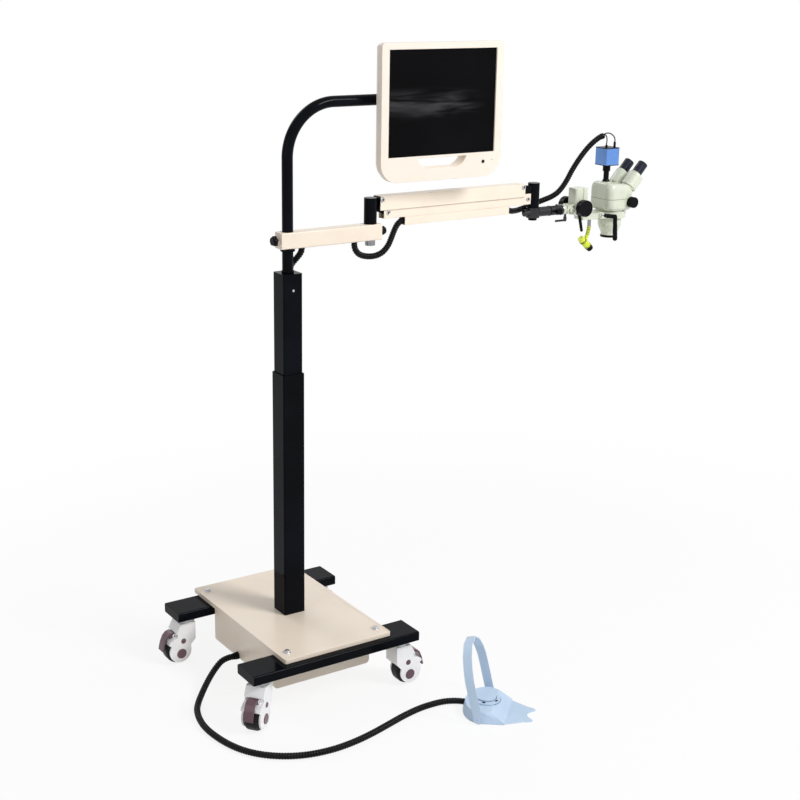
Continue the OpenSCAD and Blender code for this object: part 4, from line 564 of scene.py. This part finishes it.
# %% Helpers for selecting and finishing
def only(piece):
    if bpy.context.object and bpy.context.object.mode != "OBJECT":
        bpy.ops.object.mode_set(mode="OBJECT")
    bpy.ops.object.select_all(action="DESELECT")
    piece.select_set(True)
    bpy.context.view_layer.objects.active = piece


def apply_modifier(piece, kind, **values):
    only(piece)
    modifier = piece.modifiers.new(kind.lower(), kind)
    for key, value in values.items():
        setattr(modifier, key, value)
    bpy.ops.object.modifier_apply(modifier=modifier.name)


def smooth(piece, degrees=32):
    """Shades smooth every edge that bends less than this."""
    only(piece)
    bpy.ops.object.shade_smooth_by_angle(angle=math.radians(degrees))


def paint(piece, material, where):
    """Gives the faces whose centre and normal pass the test another material."""
    piece.data.materials.append(material)
    index = len(piece.data.materials) - 1
    for face in piece.data.polygons:
        if where(face.center, face.normal):
            face.material_index = index


MERGE_REACH, FLAT_ANGLE = 0.00002, math.radians(0.6)
STRAP = "pedal_handle"


def soften(node_name, width, clamp):
    """Dresses a CAD solid in a copy of itself with rounded edges of this width in millimetres."""
    curve = 50 if node_name == STRAP else 30  # the strap bends in steps that are one curve on the real one
    source = frame["nodes"][node_name]
    piece = bpy.data.objects.new(node_name + "_finish", source.data.copy())
    bpy.context.scene.collection.objects.link(piece)
    piece.data.materials.clear()
    piece.data.materials.append(FINISH[slot_of[node_name]])
    only(piece)
    bpy.ops.object.mode_set(mode="EDIT")
    bpy.ops.mesh.select_all(action="SELECT")
    bpy.ops.mesh.remove_doubles(threshold=MERGE_REACH)
    bpy.ops.mesh.dissolve_limited(angle_limit=FLAT_ANGLE, use_dissolve_boundaries=False)
    bpy.ops.object.mode_set(mode="OBJECT")
    if width:
        apply_modifier(piece, "BEVEL", width=width / 1000, segments=2, limit_method="ANGLE",
                       angle_limit=math.radians(curve), use_clamp_overlap=clamp)
    smooth(piece, curve + 2)
    apply_modifier(piece, "WEIGHTED_NORMAL", weight=60, keep_sharp=True)
    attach(piece, body_of[node_name])
    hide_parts(node_name)
    return piece


print("solids to soften", sum("hose" not in name or name == "hose_gland" for name in frame["nodes"]))


# %% [markdown]
# Each width is what the real edge would have, in millimetres: about 2 on a moulded shell, 1 on a folded or
# sawn metal edge, half a millimetre or less on a turned part. Three solids have edges closer together than
# their bevels, so theirs may not overlap.

# %% Every rigid solid, softened
PLACES = ("front_left", "front_right", "rear_left", "rear_right")
WIDTH = {
    "base_plate": 1.2, "legs": 1.6, "power_box": 2.0, "base_bolts": 0.8, "column_outer": 0.8,
    "lift_actuator": 0, "caster_stems": 0.4, "hose_gland": 0.6, "pedal_base": 1.6, "pedal_disc": 1.0,
    STRAP: 0.7, "column_inner": 0.8, "monitor_pole": 0.5, "monitor_bracket": 0.8,
    "monitor_back": 2.0, "monitor_front": 1.4, "monitor_screen": 0.3, "monitor_button": 0.3,
    "arm_beam": 1.6, "pole_knob": 1.2, "post_knob": 1.2, "elbow_post": 0.6, "upper_link": 1.2,
    "lower_link": 1.2, "wrist_post": 0.6, "short_arm": 0.5, "roll_knob": 0.8, "tilt_joint": 0.7,
    "tilt_lever": 0.4, "focus_block": 1.2, "focus_knobs": 1.4, "slide_lever": 0.5, "ring_carrier": 1.0,
    "ring_lever": 0.4, "scope_body": 0.5, "zoom_knobs": 0.4, "objective": 0.5, "prism_left": 1.6,
    "prism_right": 1.6, "ocular_left": 0.5, "ocular_right": 0.5, "camera": 0.7, "lamp_neck": 0.3,
    "lamp_head": 0.6,
}
for place in PLACES:
    WIDTH[f"caster_housing_{place}"] = 0.8
    WIDTH[f"caster_wheel_{place}"] = 0.8
    WIDTH[f"caster_brake_{place}"] = 0.6
KEEP_CLEAR = (STRAP, "slide_lever", "camera")
skins = {name: soften(name, width, name in KEEP_CLEAR) for name, width in WIDTH.items()}
print("softened", len(skins), "solids,", sum(len(s.data.polygons) for s in skins.values()), "faces")


# %% [markdown]
# ## Second finishes
# The camera is a blue box between dark plates on a black adapter, the lamp's nose is black and its ferrule
# grey, the objective ends in a black rim, the eyepieces are blue-black with coated lenses, and the casters'
# axle caps are mauve on white. A dark joint runs round the microscope's body. Each is part of one solid, so
# its faces are picked by where they are and which way they face.

# %% Painting faces by place
BLUE_FROM, BLUE_TO = 1.4566, 1.5094
paint(skins["camera"], FINISH["black_plastic"], lambda c, n: c.z < BLUE_FROM or c.z > BLUE_TO)
objective_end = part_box("objective")[0].z
paint(skins["objective"], FINISH["black_plastic"], lambda c, n: c.z < objective_end + 0.0085)
EYE_RISE, LENS_RADIUS = math.radians(48), 0.0089
along = Vector((math.cos(EYE_RISE), 0, math.sin(EYE_RISE)))
for side, s in (("left", 1), ("right", -1)):
    base = on_head(372, s * 33, 1377.4) - 0.005 * Vector((along.z, 0, -along.x))
    skin = skins[f"ocular_{side}"]
    skin.data.materials[0] = ocular_black
    paint(skin, lens, lambda c, n: (c - base).dot(along) > 0.085 and n.dot(along) > 0.99
          and ((c - base) - along * (c - base).dot(along)).length < LENS_RADIUS)
lamp_pivot = on_head(228, 0, 1200)
LAMP_TURN = math.radians(131)
nose = Vector((math.sin(LAMP_TURN), 0, math.cos(LAMP_TURN)))
paint(skins["lamp_head"], FINISH["black_plastic"], lambda c, n: (c - lamp_pivot).dot(nose) > 0.0145)
paint(skins["lamp_neck"], FINISH["grey_steel"], lambda c, n: c.z > on_head(0, 0, 1256).z - 0.0005)
lever_from = on_head(264, -35, 1297)
paint(skins["ring_lever"], FINISH["silver_steel"], lambda c, n: c.y > lever_from.y - 0.0195)
CASTER_TURN = dict(zip(PLACES, (218, 0, 180, 20)))
HOUSING_HALF = 0.0301
for place, turn in CASTER_TURN.items():
    low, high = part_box(f"caster_wheel_{place}")
    across = Vector((-math.sin(math.radians(turn)), math.cos(math.radians(turn)), 0))
    middle = (low + high) / 2
    paint(skins[f"caster_housing_{place}"], FINISH["brake_mauve"],
          lambda c, n: abs((c - middle).dot(across)) > HOUSING_HALF)
SEAM_HEIGHT, SEAM_HALF = 1.345, 0.0007
paint(skins["scope_body"], dark_seam_and_painted_shade, lambda c, n: abs(c.z - SEAM_HEIGHT) < SEAM_HALF)
beam_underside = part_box("arm_beam")[0].z
paint(skins["elbow_post"], FINISH["grey_steel"], lambda c, n: c.z < beam_underside)
print("second finishes painted")


# %% [markdown]
# ## Turned details
# Screw heads, collars, rims and bands are turned parts, round about one axis. On a lathe their section is
# cut step by step. Here one edge loop starts at the first step of the section, is extruded along the axis
# and scaled to the next radius, and so on. The same few lines make every turned detail, and a small bevel
# and smooth shading finish it. A section that comes back to its start makes a ring.

# %% A turned piece
def turned(name, section, place, axis, body, material, steps=40, bevel=0.25):
    """A section of (radius, height) steps in millimetres, turned about an axis."""
    bpy.ops.object.select_all(action="DESELECT")
    ring = section[0] == section[-1]
    bpy.ops.mesh.primitive_circle_add(vertices=steps, radius=section[0][0] / 1000, fill_type="NOTHING")
    piece = bpy.context.object
    bpy.ops.object.mode_set(mode="EDIT")
    bpy.ops.mesh.select_all(action="SELECT")
    bpy.ops.transform.translate(value=(0, 0, section[0][1] / 1000))
    if not ring:
        bpy.ops.mesh.edge_face_add()
    for (r, z), (r2, z2) in zip(section, section[1:]):
        bpy.ops.mesh.extrude_edges_move(TRANSFORM_OT_translate={"value": (0, 0, (z2 - z) / 1000)})
        if r2 != r:
            bpy.ops.transform.resize(value=(r2 / r, r2 / r, 1), center_override=(0, 0, z2 / 1000))
    if not ring:
        bpy.ops.mesh.edge_face_add()
    bpy.ops.mesh.select_all(action="SELECT")
    bpy.ops.mesh.remove_doubles(threshold=0.00001)
    bpy.ops.mesh.normals_make_consistent(inside=False)
    bpy.ops.object.mode_set(mode="OBJECT")
    piece.name = piece.data.name = name
    turn = Vector((0, 0, 1)).rotation_difference(Vector(axis))
    piece.data.transform(Matrix.Translation(place) @ turn.to_matrix().to_4x4())
    piece.data.materials.append(material)
    if bevel:
        apply_modifier(piece, "BEVEL", width=bevel / 1000, segments=2, limit_method="ANGLE",
                       angle_limit=math.radians(28), use_clamp_overlap=True)
    smooth(piece)
    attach(piece, body)
    return piece


def band_section(inner, outer, low, high):
    """The section of a flat band, which comes back to its start."""
    return [(inner, low), (outer, low), (outer, high), (inner, high), (inner, low)]


print("a band has", len(band_section(1, 2, 0, 1)) - 1, "steps")


# %% [markdown]
# The two links of the balance arm turn on pins with bright socket heads, one on each side of a link. A head
# covers the plain end of its pin, so it rides with the post that holds the pin. The faces in each head's
# shallow socket are painted dark, as painted shade.

# %% Screw heads of the balance arm
UPPER_X, UPPER_Z, UPPER_HALF = 31, 1420.9, 18
LOWER_X, LOWER_Z, LOWER_HALF = 58, 1379.9, 13
across_arm = Vector((-math.sin(ARM_YAW), math.cos(ARM_YAW), 0))


def on_arm(x, y, z):
    c, d = math.cos(ARM_YAW), math.sin(ARM_YAW)
    return on_stand(ELBOW_X + x * c - y * d, x * d + y * c, z)


HIGH_HEAD = [(7.6, 0.1), (7.6, 2.0), (6.5, 3.5), (4.1, 3.7), (3.8, 2.75)]
LOW_HEAD = [(7.6, 0.1), (7.6, 1.5), (6.5, 2.6), (4.1, 2.75), (3.8, 2.2)]
SOCKET_SHADE_REACH = 0.0042
heads = []
for body, run, fall in (("elbow", 0, 0), ("wrist", FAR, FALL)):
    for level, section, x, z, half in (("upper", HIGH_HEAD, UPPER_X, UPPER_Z, UPPER_HALF),
                                       ("lower", LOW_HEAD, LOWER_X, LOWER_Z, LOWER_HALF)):
        for end, s in (("near", -1), ("far", 1)):
            middle = on_arm(x + run, s * half, z - fall)
            head = turned(f"screw_{body}_{level}_{end}", section, middle, s * across_arm, body,
                          FINISH["silver_steel"])
            # painted shade: the faces inside the socket are painted dark
            paint(head, dark_seam_and_painted_shade,
                  lambda c, n: (c - middle).length < SOCKET_SHADE_REACH and n.dot(s * across_arm) > 0.3)
            heads.append(head)
print("screw heads", len(heads))


# %% [markdown]
# Each caster turns on a bearing whose white cover is stepped like a stack of rings. The cover turns with the
# caster, so it is made round the swivel's axis and rides with the housing.

# %% Caster bearing covers
COVER_SECTION = [(26.6, 131.4), (29.2, 131.4), (29.2, 134.4), (27.6, 135.2), (27.6, 137.2), (28.8, 137.8),
                 (28.8, 140.6), (27.5, 141.4), (27.5, 143.8), (26.6, 143.8), (26.6, 131.4)]
CORNER = dict(zip(PLACES, ((-245, -263), (221, -263), (-245, 218), (221, 218))))
for place, (x, y) in CORNER.items():
    turned(f"bearing_cover_{place}", COVER_SECTION, on_stand(x, y, 0), (0, 0, 1), f"caster_{place}",
           FINISH["caster_white"], steps=56, bevel=0.4)
print("bearing covers", len(CORNER))


# %% [markdown]
# Small turned parts finish the rest: the rim round the monitor's button and its little lamp, the bright
# band where the short tube ends, the caps on the tilt pin, a plug in the column's side and two dark rings
# of painted shade on the foot control, at the foot of its disc and at the foot of the disc's ring. A table of
# sections and places keeps them together.

# %% Rims, caps and plugs
PEDAL_TURN, PEDAL_X, PEDAL_Y = math.radians(-46.8), 348, -540


def on_pedal(x, y, z):
    c, d = math.cos(PEDAL_TURN), math.sin(PEDAL_TURN)
    return on_stand(PEDAL_X + x * c - y * d, PEDAL_Y + x * d + y * c, z)


RIGHT, FRONT, BACK, UPWARD = (1, 0, 0), (0, -1, 0), (0, 1, 0), (0, 0, 1)
TILT_CAP = [(8.6, -0.2), (8.6, 1.3), (7.6, 2.1), (3.0, 2.2), (2.8, 1.6)]
disc_middle, foot = on_pedal(0, 6, 39), body_of["pedal_base"]
SMALL = {
    "button_rim": ([(5.4, -0.6), (7.0, -0.6), (7.0, 0.5), (6.2, 1.0), (5.4, 0.5), (5.4, -0.6)],
                   on_stand(623, -75, 1521), FRONT, "monitor", "cream_plastic", 0.2),
    "power_light": ([(1.4, -1.4), (1.4, 0.1), (0.8, 0.5)],
                    on_stand(656, -75, 1524), FRONT, "monitor", "silver_steel", 0.1),
    "tube_band": (band_section(15.6, 17.3, -2.6, 0.2),
                  on_head(119.6, 0, 1320), RIGHT, "short_arm", "silver_steel", 0.3),
    "tube_ring": (band_section(15.2, 16.5, -1.6, 1.6),
                  on_head(66, 0, 1320), RIGHT, "short_arm", "black_gloss", 0.3),
    "tilt_cap_near": (TILT_CAP, on_head(146, -22, 1320), FRONT, "focus_block", "scope_paint", 0.2),
    "tilt_cap_far": (TILT_CAP, on_head(146, 22, 1320), BACK, "focus_block", "scope_paint", 0.2),
    "column_plug": ([(3.6, -0.2), (3.6, 0.25), (3.0, 0.35), (1.6, 0.35), (1.5, 0.1)],
                    on_stand(1, -31, 1187), FRONT, "lift", "silver_steel", 0.1),
    # painted shade: dark blue rings at the foot of the disc and at the foot of its ring
    "disc_crease_shade": (band_section(29.3, 31.0, -0.2, 0.25), disc_middle, UPWARD, foot, "pedal_plastic", 0),
    "ring_crease_shade": (band_section(42.0, 43.6, -5.3, -4.6), disc_middle, UPWARD, foot, "pedal_plastic", 0),
}
# the colour of the painted shade round the foot control's disc
painted_crease_shade = finish("painted_crease_shade", (0.10, 0.14, 0.20), (0.13, 0.17, 0.24), (0.5, 0.7))
for name, (section, place, axis, body, slot, bevel) in SMALL.items():
    material = painted_crease_shade if slot == "pedal_plastic" else FINISH[slot]
    turned(name, section, place, axis, body, material, steps=56, bevel=bevel)
print("small turned parts", len(SMALL))


# %% [markdown]
# The lamp hangs on a bendy neck with five dark marks, and has three dark bands. The neck's tongue goes into a
# slot in the head, so the two bands there are open: the faces in the slot are deleted and the holes filled.

# %% Marks and bands on the lamp
NECK_MARKS = 5
BANDS = (-13.6, -9.8, 12.6)  # along the head from its pivot
SLOT_HALF = 0.0048


def cut_slot(piece):
    """Opens a band where the slot is, and closes its two ends."""
    slot_side = Vector((-nose.z, 0, nose.x))
    for face in piece.data.polygons:
        offset = face.center - lamp_pivot
        face.select = abs(offset.y) < SLOT_HALF and offset.dot(slot_side) > 0
    for part in (piece.data.vertices, piece.data.edges):
        for element in part:
            element.select = False
    only(piece)
    bpy.ops.object.mode_set(mode="EDIT")
    bpy.ops.mesh.select_mode(type="FACE")
    bpy.ops.mesh.delete(type="FACE")
    bpy.ops.mesh.select_all(action="SELECT")
    bpy.ops.mesh.select_mode(type="VERT")
    bpy.ops.mesh.select_all(action="DESELECT")
    bpy.ops.mesh.select_non_manifold()
    bpy.ops.mesh.fill_holes(sides=0)
    bpy.ops.object.mode_set(mode="OBJECT")


for i in range(1, NECK_MARKS + 1):
    t = i / (NECK_MARKS + 2)
    turned(f"neck_mark_{i}", band_section(6.2, 6.9, -0.5, 0.5), on_head(241 - 10 * t * t, 0, 1256 - 38 * t),
           (20 * t, 0, 38), "lamp_neck", FINISH["black_plastic"], bevel=0)
for i, along_head in enumerate(BANDS):
    lamp_band = turned(f"lamp_band_{i + 1}", band_section(11.4, 12.6, -0.7, 0.7),
                       lamp_pivot + nose * along_head / 1000, nose, "lamp_head",
                       FINISH["black_plastic"], bevel=0)
    if along_head < 0:
        cut_slot(lamp_band)
print("marks and bands", NECK_MARKS + len(BANDS))


# %% [markdown]
# Two dark clips hold the disc's ring on the foot control. Each is a small block that narrows to its top,
# with its edges bevelled, turned to face away from the disc's middle.

# %% Clips on the foot control
CLIPS = ((-34.8, -30.9), (13.1, -43.2))
CLIP_SIZE, CLIP_REACH = (0.0045, 0.010, 0.003), 0.0365
for i, (dx, dy) in enumerate(CLIPS):
    away = Vector((dx, dy, 0)).normalized()
    bpy.ops.object.select_all(action="DESELECT")
    bpy.ops.mesh.primitive_cube_add(size=1)
    clip = bpy.context.object
    clip.name = clip.data.name = f"ring_clip_{i + 1}"
    bpy.ops.object.mode_set(mode="EDIT")
    bpy.ops.mesh.select_all(action="SELECT")
    bpy.ops.transform.resize(value=CLIP_SIZE)
    bpy.ops.object.mode_set(mode="OBJECT")
    for vertex in clip.data.vertices:
        if vertex.co.z > 0:
            vertex.co.x *= 0.7
            vertex.co.y *= 0.85
    turn = Vector((1, 0, 0)).rotation_difference(away)
    middle = on_pedal(0, 6, 39.6) + away * CLIP_REACH
    clip.data.transform(Matrix.Translation(middle) @ turn.to_matrix().to_4x4())
    clip.data.materials.append(FINISH["black_plastic"])
    apply_modifier(clip, "BEVEL", width=0.0005, segments=2, limit_method="ANGLE",
                   angle_limit=math.radians(30))
    smooth(clip)
    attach(clip, body_of["pedal_base"])
print("clips", len(CLIPS))


# %% [markdown]
# ## The room
# The photograph has a white background. The floor is pale and keeps the soft shadow under the stand; it and
# the world turn white for the camera and for reflections, so the lamps never have to be bright enough to
# whiten them. Far from the object the floor fades to pure white, so its edge can't be seen.

# %% Floor
bpy.ops.object.select_all(action="DESELECT")
bpy.ops.mesh.primitive_plane_add(size=40, location=(0, 0, -0.0005))
floor = bpy.context.object
floor.name = "floor"
floor_paint = bpy.data.materials.new("floor_white")
floor_paint.use_nodes = True
tree = floor_paint.node_tree
tree.nodes.clear()
ray, seen = seen_directly(tree)
spot = tree.nodes.new("ShaderNodeTexCoord")
distance = node(tree, "ShaderNodeVectorMath", {0: spot.outputs["Object"]}, operation="LENGTH")
fade = ramp(tree, distance.outputs["Value"], (0.8, 2.6), (0.86, 1.0), "SMOOTHSTEP")
share = maths(tree, "MULTIPLY", seen, fade)
matt = node(tree, "ShaderNodeBsdfDiffuse", color=(0.92, 0.92, 0.92, 1))
glow = node(tree, "ShaderNodeEmission", color=(1, 1, 1, 1), strength=1.0)
mix = node(tree, "ShaderNodeMixShader", {0: share, 1: matt.outputs[0], 2: glow.outputs[0]})
node(tree, "ShaderNodeOutputMaterial", {"Surface": mix.outputs[0]})
floor.data.materials.append(floor_paint)
print("floor", round(floor.dimensions.x), "m wide")


# %% [markdown]
# The world is dimmer for the light that it casts than for what is seen in it. So the background and the
# reflections are white, and the shadows stay. The lamps stand where a photographer's would: one large key
# from the front right, a weak fill from the left and a rim light from behind.

# %% World and lamps
world = bpy.data.worlds.new("studio")
bpy.context.scene.world = world
world.use_nodes = True
tree = world.node_tree
tree.nodes.clear()
ray, seen = seen_directly(tree)
seen = maths(tree, "MAXIMUM", seen, ray.outputs["Is Transmission Ray"])
sky = node(tree, "ShaderNodeBackground", {"Strength": ramp(tree, seen, wanted=(0.36, 1.0))},
           color=(1, 1, 1, 1))
node(tree, "ShaderNodeOutputWorld", {"Surface": sky.outputs[0]})


def lamp(name, place, aim, size, watts):
    """A square soft lamp at a place, turned to face what it lights."""
    data = bpy.data.lights.new(name, "AREA")
    data.shape, data.size, data.energy = "SQUARE", size, watts
    light = bpy.data.objects.new(name, data)
    light.location = place
    light.rotation_euler = (Vector(aim) - Vector(place)).to_track_quat("-Z", "Y").to_euler()
    bpy.context.scene.collection.objects.link(light)


lamp("key", (2.2, -4.4, 5.0), (0, 0, 0.8), 2.0, 300)
lamp("fill", (-4.6, -1.6, 2.2), (0, 0, 0.9), 2.4, 16)
lamp("rim", (-1.0, 4.2, 4.2), (0, 0, 1.0), 2.0, 50)
bpy.context.scene.view_settings.view_transform = "Standard"
print("lamps", len(bpy.data.lights))
